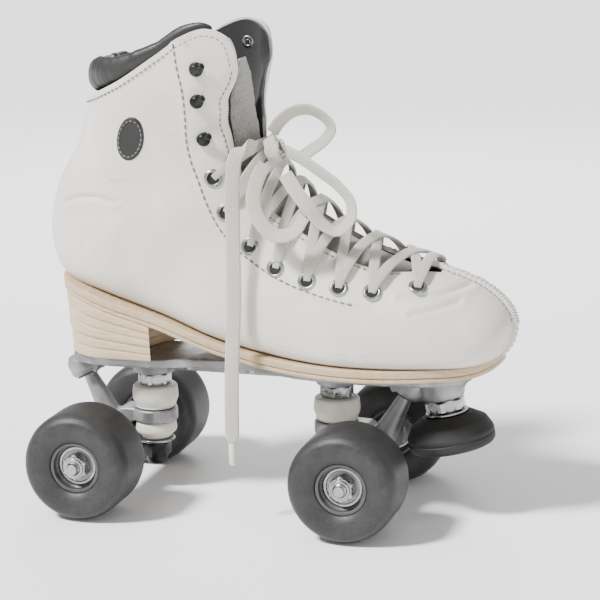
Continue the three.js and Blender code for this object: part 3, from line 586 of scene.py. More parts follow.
def through(s):
    """The stations' numbers at parameters s, by Catmull-Rom."""
    s = np.atleast_1d(np.asarray(s, float))
    i = np.clip(np.floor(s).astype(int), 0, LAST_STATION - 1)
    t = (s - i)[:, None]
    p, q, r, w = (STATIONS[np.clip(i + k, 0, LAST_STATION)] for k in (-1, 0, 1, 2))
    return 0.5 * (2 * q + (r - p) * t + (2 * p - 5 * q + 4 * r - w) * t**2 + (3 * q - p - 3 * r + w) * t**3)


class Slices:
    """Slices at parameters s, moved inwards by inset."""

    def __init__(self, s, inset=0.0):
        s = np.atleast_1d(np.asarray(s, float))
        at = through(s)
        tip = np.maximum(0, 1 - s / 3) * inset
        top, base = at[:, 0:2].copy(), at[:, 2:4].copy()
        top[:, 0] -= tip
        base[:, 0] -= tip
        self.inwards = unit(base - top)
        self.top = top + self.inwards * inset
        self.base = base - self.inwards * inset
        self.half = np.maximum(at[:, 4] - inset, 0.5)
        self.widest, self.square_top, self.square_base, self.side, self.throat = at[:, 5:10].T

    def point(self, share, y):
        flat = self.top + (self.base - self.top) * share[:, None]
        return np.stack([flat[:, 0], y + self.side, flat[:, 1]], 1)

    def rings(self, count):
        """Points round each slice, from its top at angle 0 to its base at half a turn."""
        return np.stack([self.at_angle(angle) for angle in 2 * np.pi * np.arange(count) / count], 1)

    def at_angle(self, angle):
        upper = math.cos(angle) > 0
        power = 2 / (self.square_top if upper else self.square_base)
        reach = abs(math.cos(angle)) ** power
        share = self.widest * (1 - reach) if upper else self.widest + (1 - self.widest) * reach
        out = math.copysign(1, math.sin(angle)) * abs(math.sin(angle)) ** power
        return self.point(share, self.half * out)


def on_top(s, y, lift=0.0):
    """Points of the outer form at parameters s and distances y from the middle, on its top or front."""
    s, y = np.broadcast_arrays(np.atleast_1d(np.asarray(s, float)), np.asarray(y, float))
    cut = Slices(s, -lift)
    inside = np.minimum(np.abs(y) / cut.half, 1)
    share = cut.widest * (1 - (1 - inside**cut.square_top) ** (1 / cut.square_top))
    return cut.point(share, y)


def top_normal(s, y):
    """Outward normals of the outer form at on_top's points."""
    along = on_top(s + 0.03, y) - on_top(s - 0.03, y)
    return unit(np.cross(on_top(s, y + 0.2) - on_top(s, y - 0.2), along))


SCAN = np.linspace(0, LAST_STATION, 1500)


def on_side(x, z, side, lift=0.0):
    """The point of the outer form's side over each (x, z) of the side view."""
    cut = Slices(SCAN, -lift)
    out = []
    for px, pz in zip(np.atleast_1d(x), np.atleast_1d(z)):
        reach = cut.base - cut.top
        away = np.array([px, pz]) - cut.top
        cross = reach[:, 0] * away[:, 1] - reach[:, 1] * away[:, 0]
        share = (away * reach).sum(1) / (reach**2).sum(1)
        miss = np.abs(cross) / np.linalg.norm(reach, axis=1) + 1000 * ((share < -0.02) | (share > 1.02))
        i = int(np.argmin(miss))
        t = min(max(share[i], 0), 1)
        upper = t < cut.widest[i]
        span = cut.widest[i] if upper else 1 - cut.widest[i]
        square = cut.square_top[i] if upper else cut.square_base[i]
        width = cut.half[i] * (1 - min(1, abs(t - cut.widest[i]) / span) ** square) ** (1 / square)
        out.append((px, side * width + cut.side[i], pz))
    return np.array(out)


def smooth_line(points, count):
    """Evenly spaced points on a centripetal Catmull-Rom curve through points of any dimension."""
    points = np.asarray(points, float)
    ends = [2 * points[0] - points[1], 2 * points[-1] - points[-2]]
    full = np.vstack([ends[0], points, ends[1]])
    knots = np.concatenate([[0], np.cumsum(strides(full) ** 0.5)])

    def between(low, high, start, end):
        return (high - t) / (high - low) * start + (t - low) / (high - low) * end

    dense = []
    for i in range(1, len(full) - 2):
        t0, t1, t2, t3 = knots[i - 1 : i + 3]
        t = np.linspace(t1, t2, 40, endpoint=i == len(full) - 3)[:, None]
        a = [between(*knots[k : k + 2], *full[k : k + 2]) for k in (i - 1, i, i + 1)]
        dense.append(between(t1, t2, between(t0, t2, a[0], a[1]), between(t1, t3, a[1], a[2])))
    return resampled(np.vstack(dense), count)


def resampled(points, count):
    length = np.concatenate([[0], np.cumsum(strides(points))])
    wanted = np.linspace(0, length[-1], count)
    return np.stack([np.interp(wanted, length, points[:, k]) for k in range(points.shape[1])], 1)


TOP_LINE = [
    (-130, 226), (-91, 230), (-62, 241), (-36, 257), (-20, 267.5),
    (-5, 272), (5.5, 267), (9.5, 254), (8.5, 240), (8, 228), (10.5, 214), (17, 201),
]


def side_heights(line):
    """The dense [x, z] line as a function from x to z, for a line that runs towards +X."""
    return lambda x: np.interp(x, line[:, 0], line[:, 1])


TOP_DENSE = smooth_line(TOP_LINE, 400)
# Behind the ears' tips the top line is a height over x; so is the base line, all the way.
top_height = side_heights(TOP_DENSE[TOP_DENSE[:, 0] < -6][: np.argmax(TOP_DENSE[:, 0] > -6.5)])
BASE_POINTS = [(172, 112), *[tuple(s[2:4]) for s in STATIONS[1:12]], (-125, 130)]
base_height = side_heights(smooth_line(BASE_POINTS[::-1], 500))

# ---------------------------------------------------------------- boot


def last_solid(inset, start, end, steps, around):
    return skin(Slices(np.linspace(start, end, steps), inset).rings(around))


def throat_opening(s, side):
    """Half the throat's opening; below its top, the inner ear's edge comes further forward."""
    forward = smooth_step((s - 8.8) / 2.2) * smooth_step((15.9 - s) / 1.6)
    return through(s)[:, 9] - 7 * forward * (side > 0)


def throat_wedge(extra, start, ears=0.0):
    """The throat's cutter, from above the slices to a third of the way down them.

    It is wider than the opening by extra, and narrower by ears up in the ears.
    """
    rings = []
    s = np.linspace(start, CUT_END, 60)
    cut = Slices(s)
    for share, side in ((-0.25, -1), (-0.25, 1), (0.33, 1), (0.33, -1)):
        opening = np.maximum(throat_opening(s, side) + extra - ears * smooth_step((s - 6) / 6), 0.5)
        rings.append(cut.point(np.full(60, share), side * opening))
    return skin(np.stack(rings, 1))


def side_prism(outline, half):
    outline = np.asarray(outline, float)
    ends = [np.stack([outline[:, 0], np.full(len(outline), y), outline[:, 1]], 1) for y in (-half, half)]
    return skin(np.stack(ends))


def above_top_line(raised):
    """The cutter for everything above the boot's top line."""
    line = smooth_line(TOP_LINE, 150) + np.array([0, raised])
    return side_prism([*line, (60, 200), (60, 330), (-130, 330)], 80)


def shell_between(name, outer, cutters):
    """The outer solid less its cutters."""
    made = raw_object(name, outer)
    tools = []
    for i, cutter in enumerate(cutters):
        tool = raw_object(f"{name}_cutter_{i}", cutter)
        tools.append(tool)
        boolean = made.modifiers.new("cut", "BOOLEAN")
        boolean.operation = "DIFFERENCE"
        boolean.solver = "MANIFOLD"
        boolean.object = tool
    bake(made)
    for tool in tools:
        bpy.data.objects.remove(tool)
    return made


# The eyestay's sewn edge in side view, from the top of the ankle ear down to the throat's end.
SEAM = [
    (-27, 272), (-26, 265), (-24.5, 252), (-22, 238), (-21.5, 224), (-21.5, 210), (-19.5, 199), (-15.5, 188),
    (-11.5, 177), (-4.5, 163.5), (5, 153), (14.5, 146), (28, 138.3), (41, 133), (53, 129.5), (65, 126.5),
    (77, 124.3), (94, 122),
]
EYESTAY_RISE, CREASE_DEPTH = 0.7, 1.1
CREASES = [
    [(101, 130), (112, 130.5), (122, 131), (135, 133.5)],
    [(108, 122), (119, 124), (131, 127)],
    [(-98, 172), (-86, 176), (-74, 177), (-62, 175)],
]


def line_distance(points, line):
    """Distances from side-view points to a line of [x, z] points, and the signs of their sides of it."""
    best = np.full(len(points), 1e9)
    sign = np.ones(len(points))
    for a, b in zip(line[:-1], line[1:]):
        along = b - a
        share = np.clip(((points - a) @ along) / (along @ along), 0, 1)
        away = points - (a + share[:, None] * along)
        distance = np.linalg.norm(away, axis=1)
        nearer = distance < best
        best[nearer] = distance[nearer]
        cross = along[0] * (points[:, 1] - a[1]) - along[1] * (points[:, 0] - a[0])
        sign[nearer] = np.sign(cross[nearer])
    return best, sign


def press_details(made):
    """Raises the eyestay by the leather's thickness at its sewn edge, and presses the creases in."""
    mesh = made.data
    count = len(mesh.vertices)
    points, normals = np.empty((count, 3)), np.empty((count, 3))
    mesh.vertices.foreach_get("co", points.reshape(-1))
    mesh.vertices.foreach_get("normal", normals.reshape(-1))
    shape = points * 1000 - np.array([MIDDLE_X * 1000, 0, 0])
    # Only the outer face moves, and with it the ears' front edges.
    outer = np.abs(shape[:, 1]) > 4
    front = (normals[:, 0] > 0.3) & (shape[:, 0] > -5) & (shape[:, 2] > 150)
    outer &= (normals[:, 1] * np.sign(shape[:, 1]) > 0.05) | front
    side = shape[:, [0, 2]]
    lift = np.zeros(count)
    distance, sign = line_distance(side, smooth_line(SEAM, 90))
    reach = smooth_step((sign * distance + 0.7) / 1.4) * smooth_step((88 - side[:, 0]) / 22)
    lift += EYESTAY_RISE * reach * (distance < 60)
    for crease in CREASES:
        distance, _ = line_distance(side, smooth_line(crease, 24))
        lift += 0.45 * np.exp(-((distance - 3) ** 2) / 3.0) - CREASE_DEPTH * np.exp(-(distance**2) / 1.1)
    points += normals * (lift * outer)[:, None] / 1000
    mesh.vertices.foreach_set("co", points.reshape(-1))
    mesh.update()


def surface_frame(point, outward):
    """Places a solid made about Z at a point, with its Z turned outward."""
    turn = Vector(outward).to_track_quat("Z", "Y").to_matrix().to_4x4()
    return Matrix.Translation(Vector(point)) @ turn


def stitches(line, spacing=3.1, length=2.3, radius=0.42):
    """A row of stitches along a line of 3-D points."""
    count = max(2, int(strides(line).sum() / spacing))
    centres = resampled(line, 2 * count + 1)
    ends = [(0.8 * radius, 0.425 * length), (radius, 0.2 * length)]
    profile = [(0, -length / 2)] + [(r, -z) for r, z in ends] + ends[::-1] + [(0, length / 2)]
    stitch = turned(profile, 6)
    return merge(*[
        placed(stitch, surface_frame(centres[i], unit(centres[i + 1] - centres[i - 1])))
        for i in range(1, 2 * count, 2)
    ])


def shifted(line, distance):
    """A side-view line moved to its left by a distance."""
    along = unit(np.gradient(line, axis=0))
    return line + distance * np.stack([-along[:, 1], along[:, 0]], 1)


def make_upper():
    """The leather with its lining, cut from solids of the last, and their stitching."""
    outer = last_solid(0, 0, LAST_STATION, 340, 260)
    cutters = [last_solid(LEATHER, 1, CUT_END, 150, 120), throat_wedge(0, 4), above_top_line(0)]
    upper = shell_between("upper_leather", outer, cutters)
    press_details(upper)
    finished(upper, "leather", ["boot_upper"], 40)
    outer = last_solid(LEATHER + 0.3, 1, LAST_STATION, 150, 120)
    cutters = [last_solid(INNER, 1.4, CUT_END, 140, 110), throat_wedge(-0.6, 3.9, 3.2), above_top_line(-1.2)]
    lining = shell_between("lining_cloth", outer, cutters)
    finished(lining, "lining", ["boot_lining"], 40)
    make_upper_stitching()


def make_upper_stitching():
    """Bold stitches along the eyestay's seam; fine ones round the rim, the throat and the toe strip."""
    bold, fine = [], []
    seam = shifted(smooth_line(SEAM, 90), 1.9)
    seam = seam[(seam[:, 1] < 266) & (seam[:, 0] < 78)]
    edge = shifted(TOP_DENSE[::3], -3.3)
    for side, rim_end, throat_end in ((-1, 251, 15.5), (1, 212, 9.6)):
        rim = edge[(edge[:, 0] > -87) & ((edge[:, 0] < -15) | (edge[:, 1] > rim_end))]
        bold.append(stitches(on_side(*seam.T, side, 0.85), 4.0, 2.9, 0.55))
        fine.append(stitches(on_side(*rim.T, side, 0.45)))
        throat = np.linspace(4.75, throat_end, 90)
        fine.append(stitches(on_top(throat, side * (throat_opening(throat, side) + 2.4), 0.85)))
        toe = np.linspace(4.2, 0.5, 80)
        fine.append(stitches(on_top(toe, side * (toe_strip_half(toe) + 1.4), 0.1)))
    piece("seam_stitching", merge(*bold), "thread")
    piece("edge_stitching", merge(*fine), "thread")


# The strip's way on from the toe's tip down to the welt, as steps in x and z.
TOE_STRIP_START, TOE_STRIP_TIP = 4.45, 0.12
TOE_STRIP_END = [(0, 0), (-0.4, -4), (-1.7, -8.5), (-4.4, -13.2), (-7.4, -16.6), (-9.4, -18.4)]


def toe_strip_half(s):
    return 2.7 + 1.1 * smooth_step((3.8 - s) / 3)


def make_toe_strip():
    """The corded strip sewn over the toe's middle seam, from the throat's end down to the welt."""
    s = np.linspace(TOE_STRIP_START, TOE_STRIP_TIP, 260)
    half = toe_strip_half(s)
    route = smooth_line(TOE_STRIP_END, 71)
    along = unit(np.gradient(route, axis=0))[1:]
    ahead = np.column_stack([-along[:, 1], 0 * along[:, 0], along[:, 0]])
    down = np.column_stack([route[1:, 0], 0 * route[1:, 0], route[1:, 1]])
    across = np.linspace(-1, 1, 13)
    ridges = np.sin(np.arange(len(s) + len(down)) * 0.62)  # across the strip, and slanted by roll below
    rings = []
    for share in across:
        lift = (1.9 + 0.34 * np.roll(ridges, int(share * 4))) * (1 - share**4) ** 0.5 + 0.02
        low = on_top(s, share * half)
        row = low + (on_top(s, share * half, 1) - low) * lift[: len(s), None]
        rings.append(np.vstack([row, low[-1] + down + ahead * lift[len(s) :, None]]))
    for share in across[::-1]:
        tip = on_top(TOE_STRIP_TIP, share * half[-1])
        rings.append(np.vstack([on_top(s, share * half, -0.6), tip + down - 0.6 * ahead]))
    piece("toe_strip", skin(np.stack(rings, 1)), "leather", sharp=60)


SHAFT_START = 14.0  # a station whose wall lies below the top line where the collar runs


def on_wall(angle, inset, lift):
    """The point of the shaft's wall at a slice's angle that lies a lift above the top line."""
    low, high = SHAFT_START, float(LAST_STATION)
    for _ in range(24):
        middle = (low + high) / 2
        point = Slices(middle, inset).at_angle(angle)[0]
        if point[2] < top_height(point[0]) + lift:
            low = middle
        else:
            high = middle
    return point


COLLAR_REACH = {-1: 0.47, 1: 0.61}  # how far forward it runs on each side, as a share of half a turn
COLLAR_INSET = 4.6
GATHERS = [(0.022, 47, 0), (0.018, 83, 1), (0.012, 131, 0)]  # depth, rate and start of each wave


def make_collar():
    """The padded roll round the ankle's opening, gathered a little along its length."""
    rings = []
    steps, around = 150, 28
    for i in range(steps + 1):
        turn = -1 + 2 * i / steps
        rear = 1 - abs(turn)
        fat = min(1, rear * 1.5) ** 0.9
        across = 1.4 + 4.6 * min(1, rear * 2)
        tall = 1.4 + 7.6 * fat
        reach = COLLAR_REACH[1 if turn > 0 else -1]
        centre = on_wall(math.pi * (1 + reach * turn), COLLAR_INSET, 0.2 + 9.3 * fat)
        outward = unit(np.array([centre[0] + 40, centre[1]]))
        gather = 1.0
        for depth, rate, start in GATHERS:
            gather += depth * math.sin(turn * rate + start)
        edge = top_height(centre[0])
        section = []
        for j in range(around):
            angle = 2 * math.pi * j / around
            pinch = 1 - 0.05 * math.exp(-((math.sin(angle) - 0.35) ** 2) / 0.02)
            out = across * math.cos(angle) * gather * pinch
            z = centre[2] + tall * math.sin(angle) * gather
            # Below the leather's edge there is less room between the leather and the ankle.
            room = 1.8 + (across - 1.8) * float(smooth_step((z - edge + 0.4) / 3.0))
            section.append((*(centre[:2] + outward * min(out, max(room, 1.2))), z))
        rings.append(section)
    collar = piece("collar_padding", skin(rings), "padding", ["collar_roll"], 180)


TONGUE_START, TONGUE_END = 4.7, 15.9


def make_tongue():
    """The padded tongue, quilted by a stitched border."""
    rings = []
    steps, across = 130, np.linspace(-1, 1, 29)
    out = np.abs(across)
    border = 0.9 * np.exp(-((out - 0.86) ** 2) / 0.0012)
    for i in range(steps + 1):
        s = TONGUE_START + (TONGUE_END - TONGUE_START) * i / steps
        end = min(1.0, (i / steps) / 0.05, (1 - i / steps) / 0.06)
        # It lies just under the lining, and up in the ears it leans back, narrows and turns aside.
        depth = INNER + 0.6 + max(0, s - 10.6) * 1.35
        taper = 1 - 0.66 * max(0, (s - 11.6) / 4.3) ** 1.7
        aside = -3.5 * float(smooth_step((s - 9.5) / 4.5))
        at = through(s)[0]
        blunt = 0.5 + 0.5 * math.sqrt(max(0, 1 - (1 - end) ** 2))
        half = min(at[9] + 3, 0.9 * (at[4] - depth)) * taper * blunt
        thick = (3.0 + 3.0 * min(1, max(0, (s - 7) / 6))) * (0.35 + 0.65 * end)
        ruck = 0.2 * math.sin(s * 6.0) + 0.14 * math.sin(s * 11 + 1.0)
        lifts = -depth - 0.25 * thick * out**8 + ((1 - out**6) * 0.8 - border + ruck * 0.6)
        front = np.stack([on_top(s, y, lift)[0] for y, lift in zip(across * half + aside, lifts)])
        inwards = Slices(s).inwards[0]
        deep = thick * (1 - 0.5 * out**6)
        back = front + np.stack([inwards[0] * deep, -0.06 * front[:, 1], inwards[1] * deep], 1)
        rings.append(np.concatenate([front, back[::-1]]))
    tongue = piece("tongue_padding", skin(rings), "tongue", ["tongue"], 60)


OVAL_MIDDLE, OVAL_HALF, OVAL_LEAN = (-52, 211), (12.5, 8), math.radians(76)


def oval(radius, side, lift):
    """A ring of the ankle's oval at a share of its size, on a side of the boot."""
    angle = np.linspace(0, 2 * np.pi, 72, endpoint=False)
    a, b = OVAL_HALF[0] * radius * np.cos(angle), OVAL_HALF[1] * radius * np.sin(angle)
    x = OVAL_MIDDLE[0] + a * math.cos(OVAL_LEAN) - b * math.sin(OVAL_LEAN)
    z = OVAL_MIDDLE[1] + a * math.sin(OVAL_LEAN) + b * math.cos(OVAL_LEAN)
    return on_side(x, z, side, lift)


def make_ovals():
    """A plain domed oval on each side of the ankle, stitched near its edge."""
    steps = 14
    for side, hand in ((-1, "outer"), (1, "inner")):
        rings = [oval(1, side, -0.8)]
        for i in range(steps, -1, -1):
            rings.append(oval(i / steps, side, 0.9 * (1 - (i / steps) ** 6) ** 0.5))
        piece(f"oval_{hand}", skin(rings), "padding")
        line = oval(0.82, side, 1.0)
        piece(f"oval_{hand}_stitching", stitches(np.vstack([line, line[:1]]), 2.6, 1.9, 0.36), "thread")


# ---------------------------------------------------------------- sole and heel
SOLE_PLAN = [
    (-107, 0), (-103.5, 14), (-93.5, 25), (-74, 30.5), (-45, 31.5), (-12, 33), (24, 37.5), (56, 45),
    (86, 48.5), (112, 46.5), (131.5, 39.5), (143.5, 27), (149.8, 11), (150.3, 0), (147.5, -13), (140.5, -26),
    (128.5, -35.5), (110, -42.5), (86, -46.5), (56, -45), (24, -39), (-12, -33), (-45, -31), (-74, -30.5),
    (-93.5, -25), (-103.5, -14),
]


def plan_edges():
    """The sole's edges on the inner and the outer side as functions of x."""
    wrapped = SOLE_PLAN[-3:] + SOLE_PLAN + SOLE_PLAN[:4]
    dense = smooth_line(wrapped, 1600)
    dense = dense[int(np.argmin(dense[:800, 0])) :]
    turn = int(np.argmax(dense[:, 0]))
    inner, outer = dense[: turn + 1], dense[turn:]
    outer = outer[: int(np.argmin(outer[:, 0])) + 1][::-1]
    return inner, outer


def sole_layer(top_drop, bottom_drop, inset):
    """A layer of the sole between two drops under the boot's base line, inset from the sole's plan."""
    inner, outer = plan_edges()
    low, high = inner[0, 0] + inset, inner[-1, 0] - inset
    rings = []
    for share in 0.5 - 0.5 * np.cos(np.linspace(0, math.pi, 221)):
        x = low + (high - low) * share
        left = float(np.interp(x, inner[:, 0], inner[:, 1])) - inset
        right = float(np.interp(x, outer[:, 0], outer[:, 1])) + inset
        middle, half = (left + right) / 2, max((left - right) / 2, 0.05)
        base = base_height(x)
        rings.append(rounded_section(x, middle, half, base - top_drop, base - bottom_drop))
    return skin(rings)


def rounded_section(x, middle, half, top, bottom):
    """A section across the sole with rounded edges, that waver a little along it."""
    radius = min(0.9, half)
    wave = 0.12 * math.sin(x * 0.9) + 0.08 * math.sin(x * 2.3 + 1)
    section = []
    half += wave * (half > 5)
    for sy, sz, start in ((1, 1, 90), (1, -1, 0), (-1, -1, -90), (-1, 1, 180)):
        cy = middle + sy * (half - radius)
        cz = (top - radius) if sz > 0 else (bottom + radius)
        for k in range(5):
            angle = math.radians(start - 22.5 * k)
            section.append((x, cy + radius * math.cos(angle), cz + radius * math.sin(angle)))
    return section


SOLE_BOTTOM = 5.2  # under the boot's base line
HEEL_LIFTS, HEEL_BOTTOM, HEEL_MIDDLE = 5, 83.0, np.array([-68.0, 0.0])
BREAST_X, BREAST_PULL = -46, np.array([-72, 0])
# A lift's edge: shares of its height, and how far back from its outline.
LIFT_EDGE = [
    (0, 3.0), (0, 0.5), (0.06, 0.18), (0.2, 0), (0.5, -0.06), (0.8, 0), (0.94, 0.18), (1, 0.5), (1, 3.0),
]
LIFT_GAP = 0.04
SCREW_HEAD = [(0, -2.4), (2.6, -1.6), (3.6, -0.2), (3.6, 0.4), (0, 0.4)]
SCREWS = [(-30, 12, 77.6), (-30, -12, 77.6), (8, 11, 77.6), (8, -11, 77.6)]


def heel_outline(inset):
    """A half circle at the back, and a curved breast at the front."""
    half = 30 - 0.6 * inset
    angles = np.linspace(math.pi / 2, 1.5 * math.pi, 80)
    arc = np.stack([-75.5 + 0.4 * inset + half * np.cos(angles), half * np.sin(angles)], 1)
    t = np.linspace(0, 1, 60)[:, None]
    left, right = np.array([BREAST_X, half]), np.array([BREAST_X, -half])
    breast = (1 - t) ** 2 * right + 2 * t * (1 - t) * BREAST_PULL + t**2 * left
    return resampled(np.vstack([left, arc, breast]), 151)[:-1]


def heel_lift(index):
    """One of the heel's stacked lifts, with worn edges; the heel tapers towards its bottom."""
    inset = 2.5 * (1 - index / (HEEL_LIFTS - 1)) + 0.25 * math.sin(index * 2.4)
    outline = heel_outline(inset)
    rise = base_height(outline[:, 0]) - SOLE_BOTTOM - 0.05 - HEEL_BOTTOM
    low = HEEL_BOTTOM + rise * index / HEEL_LIFTS + LIFT_GAP
    high = HEEL_BOTTOM + rise * (index + 1) / HEEL_LIFTS - LIFT_GAP
    normal = unit(outline - HEEL_MIDDLE)
    wobble = 0.10 * np.sin(outline[:, 1] * 0.5 + index * 1.7)
    rings = []
    for height, back in LIFT_EDGE:
        flat = outline - normal * (back + wobble)[:, None]
        rings.append(np.column_stack([flat, low + (high - low) * height]))
    return skin(rings)


def make_sole():
    piece("midsole_leather", sole_layer(-2.0, 2.42, 0), "sole", ["midsole"], 50)
    piece("outsole_leather", sole_layer(2.6, SOLE_BOTTOM, 0.35), "sole", ["outsole"], 50)
    for index in range(HEEL_LIFTS):
        piece(f"heel_layer_{index + 1}", heel_lift(index), "heel", [f"heel_lift_{index + 1}"], 50)
    head = lathed(SCREW_HEAD, 0.4, 24)
    piece("plate_screws", merge(*[placed(head, Matrix.Translation(place)) for place in SCREWS]), "steel")


# ---------------------------------------------------------------- trucks
ENDS = {"front": Matrix.Identity(4), "rear": Matrix.Rotation(math.pi, 4, "Z")}
KINGPIN_X, AXLE_X, AXLE_Z, WHEEL_Y = 55, 77, 30.882, 55.5
PIVOT, PIVOT_LEAN = (97, 0, 68.5), math.atan2(97 - 81, 68.5 - 38)
STOP, STOP_LEAN = (122.5, 0, 38.5), math.radians(11)
# Each cushion's bottom, top, radius, and how much narrower it is at the bottom.
CUSHIONS = {"upper": (49.2, 62.4, 13.2, 1.2), "lower": (30.7, 40.9, 12, 3)}
# Outlines as [radius, height] points about each part's own axis.
KINGPIN_TIP = [(0, 15), (5, 15), (6, 16.5), (6, 20.5), (0, 20.5)]
RETAINER = [(5, 28.4), (9.6, 28.4), (11, 29.4), (11, 30.3), (5, 30.3)]
PIVOT_CUP = [(5.9, -3), (7.6, -3), (7.6, 2), (6, 6.2), (5.3, 1)]
TYRE_SIDE = [
    (14.5, 15.4), (14.9, 16.2), (16.0, 17.0), (18, 17.9), (20.4, 18.55), (22.6, 18.9), (24.4, 19),
    (26, 18.8), (27.2, 18.35), (27.7, 17.95), (27.95, 17.6), (28.5, 17.2), (29.3, 16.1), (30.2, 14.2),
    (30.75, 12), (30.9, 9.5),
]
HUB = [
    (6.4, -4), (11.2, -4), (11.2, -11.5), (12.6, -12.3), (12.6, -15.5), (14.4, -15.5), (14.4, 15.5),
    (12.6, 15.5), (12.6, 12.3), (11.2, 11.5), (11.2, 4), (6.4, 4),
]
RACES = [[(a, 4.3), (b, 4.3), (b, 11.3), (a, 11.3)] for a, b in ((9.3, 11), (3.95, 6.1))]
SHIELD = [(6.15, 5), (9.25, 5), (9.25, 10.8), (8.9, 10.9), (6.5, 10.6), (6.15, 10.8)]
NUT_COLLAR = [(3.75, 71.5), (5.6, 71.5), (5.4, 72.7), (3.75, 72.7)]
STOP_RUBBER = [
    (0, 0), (23, 0), (24.5, 2), (24.5, 5), (24.1, 5.3), (24.1, 5.9), (24.5, 6.2), (24.5, 8), (21.5, 14),
    (14, 18.6), (8, 19), (8, 8), (0, 8),
]
STOP_WASHER = [(7.9, 19.3), (12, 19.3), (12, 20.5), (7.9, 20.5)]


def hexed(flats, bottom, top, bore):
    """A hexagon nut or bolt head, bevelled at both ends."""
    corner = flats / math.sqrt(3)
    seat, rise = 0.49 * flats, 0.12 * (top - bottom)
    profile = [(bore, bottom), (seat, bottom), (corner, bottom + rise), (corner, top - rise), (seat, top)]
    profile += [(bore + 0.5, top), (bore, top - 0.5)]
    return turned(profile, 72, flats)


def cushion(bottom, top, radius, narrow):
    """A urethane cushion that widens from its bottom by narrow, and bulges a little."""
    profile = [(5.1, bottom), (radius - narrow - 0.8, bottom), (radius - narrow, bottom + 0.7)]
    for share in np.linspace(0, 1, 9):
        taper = narrow * (1 - min(1, share / 0.4))
        bulge = 0.5 * math.sin(math.pi * share)
        profile.append((radius - taper + bulge - 0.4, bottom + 0.9 + (top - bottom - 1.8) * share))
    profile += [(radius - 1.0, top - 0.2), (radius - 1.6, top), (5.1, top)]
    return turned(profile, 72)


def make_truck(end):
    """A truck's kingpin, cushions, pivot cup and axle, its casting, and its two wheels."""
    home = ENDS[end]
    pin = home @ Matrix.Translation((KINGPIN_X, 0, 0))
    from_node(f"{end}_hanger_casting", f"{end}_hanger", 0.7, 6, "aluminium")

    stem = turned([(0, 79.8), (4.0, 79.8)] + thread(4.7, 58, 79, 1.25, 0.5)[::-1] + [(4.7, 28), (0, 28)], 48)
    bolt = merge(stem, hexed(15, 19.5, 28, 0.0), lathed(KINGPIN_TIP, 0.7, 48))
    stand_in(f"{end}_kingpin", bolt, "blackened", pin)
    stand_in(f"{end}_kingpin_nut", hexed(17, 62.8, 69.6, 4.9), "steel", pin)
    stand_in(f"{end}_retainer", lathed(RETAINER, 0.5, 72), "steel", pin)
    for name, (bottom, top, radius, narrow) in CUSHIONS.items():
        node = f"{end}_cushion_{name}"
        solid = placed(cushion(bottom, top, radius, narrow), pin)
        made = piece(f"{node}_look", solid, "cushion", [node], body=None)
        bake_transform(made)

    pivot = home @ Matrix.Translation(PIVOT) @ Matrix.Rotation(PIVOT_LEAN, 4, "Y")
    stand_in(f"{end}_pivot_cup", lathed(PIVOT_CUP, 0.4, 48), "cup", pivot)
    rod = [(0, -75), (2.9, -75)] + thread(3.7, -74.2, -66, 1.0, 0.42) + [(3.7, -65.5), (3.7, 65.5)]
    rod += thread(3.7, 66, 74.2, 1.0, 0.42) + [(2.9, 75), (0, 75)]
    stand_in(f"{end}_axle", turned(rod, 40), "steel", home @ along_y(AXLE_X, AXLE_Z, 1, 0))
    axle_x = AXLE_X if end == "front" else -AXLE_X
    for hand, side in (("left", 1), ("right", -1)):
        make_wheel(f"{end}_{hand}", axle_x, side)


def make_wheel(name, axle_x, side):
    """A wheel with its two bearings and its axle nut."""
    centre = along_y(axle_x, AXLE_Z, side, side * WHEEL_Y)
    rim = [(r, -z) for r, z in TYRE_SIDE] + TYRE_SIDE[::-1]
    stand_in(f"{name}_tyre", turned(rim, 128), "tyre", centre, 25)
    stand_in(f"{name}_hub", lathed(HUB, 0.35, 80), "hub", centre)
    for which, out in (("outer", 1), ("inner", -1)):
        node = f"{name}_bearing_{which}"
        seat = along_y(axle_x, AXLE_Z, side * out, side * WHEEL_Y)
        stand_in(node, merge(*[lathed(race, 0.35, 64) for race in RACES]), "steel", seat)
        piece(f"{node}_shield", placed(lathed(SHIELD, 0.15, 64), seat), "shield", body=body_of(node))
    nut = merge(hexed(13, 67.2, 71.6, 3.75), lathed(NUT_COLLAR, 0.4, 48))
    stand_in(f"{name}_axle_nut", nut, "steel", along_y(axle_x, AXLE_Z, side, 0))


def make_toe_stop():
    """The stop's rubber on its threaded stem, with its washer and locking nut."""
    home = Matrix.Translation(STOP) @ Matrix.Rotation(-STOP_LEAN, 4, "Y")
    stem = [(0, 8.3), (6.9, 8.3)] + thread(7.6, 9, 42, 1.6, 0.65) + [(6.4, 43), (2.6, 43), (2.6, 40), (0, 40)]
    for name, solid, look in (
        ("rubber", lathed(STOP_RUBBER, 0.7, 96), "rubber"),
        ("stem", turned(stem, 72), "steel"),
        ("washer", lathed(STOP_WASHER, 0.3, 64), "steel"),
        ("nut", hexed(20, 20.8, 27.4, 7.9), "steel"),
    ):
        stand_in(f"toe_stop_{name}", solid, look, home)


# ---------------------------------------------------------------- laces
LACE_WIDTH, LACE_THICK = 8.0, 1.6
EYELETS = [
    (4.35, 28.2), (5.2, 37.2), (5.85, 38.5), (6.5, 38.7), (7.2, 37), (7.9, 33.7), (8.9, 30.7), (9.95, 29.6),
]
HOOKS = [(-10.5, 211.7), (-12.4, 232.9), (-11.5, 250.5)]


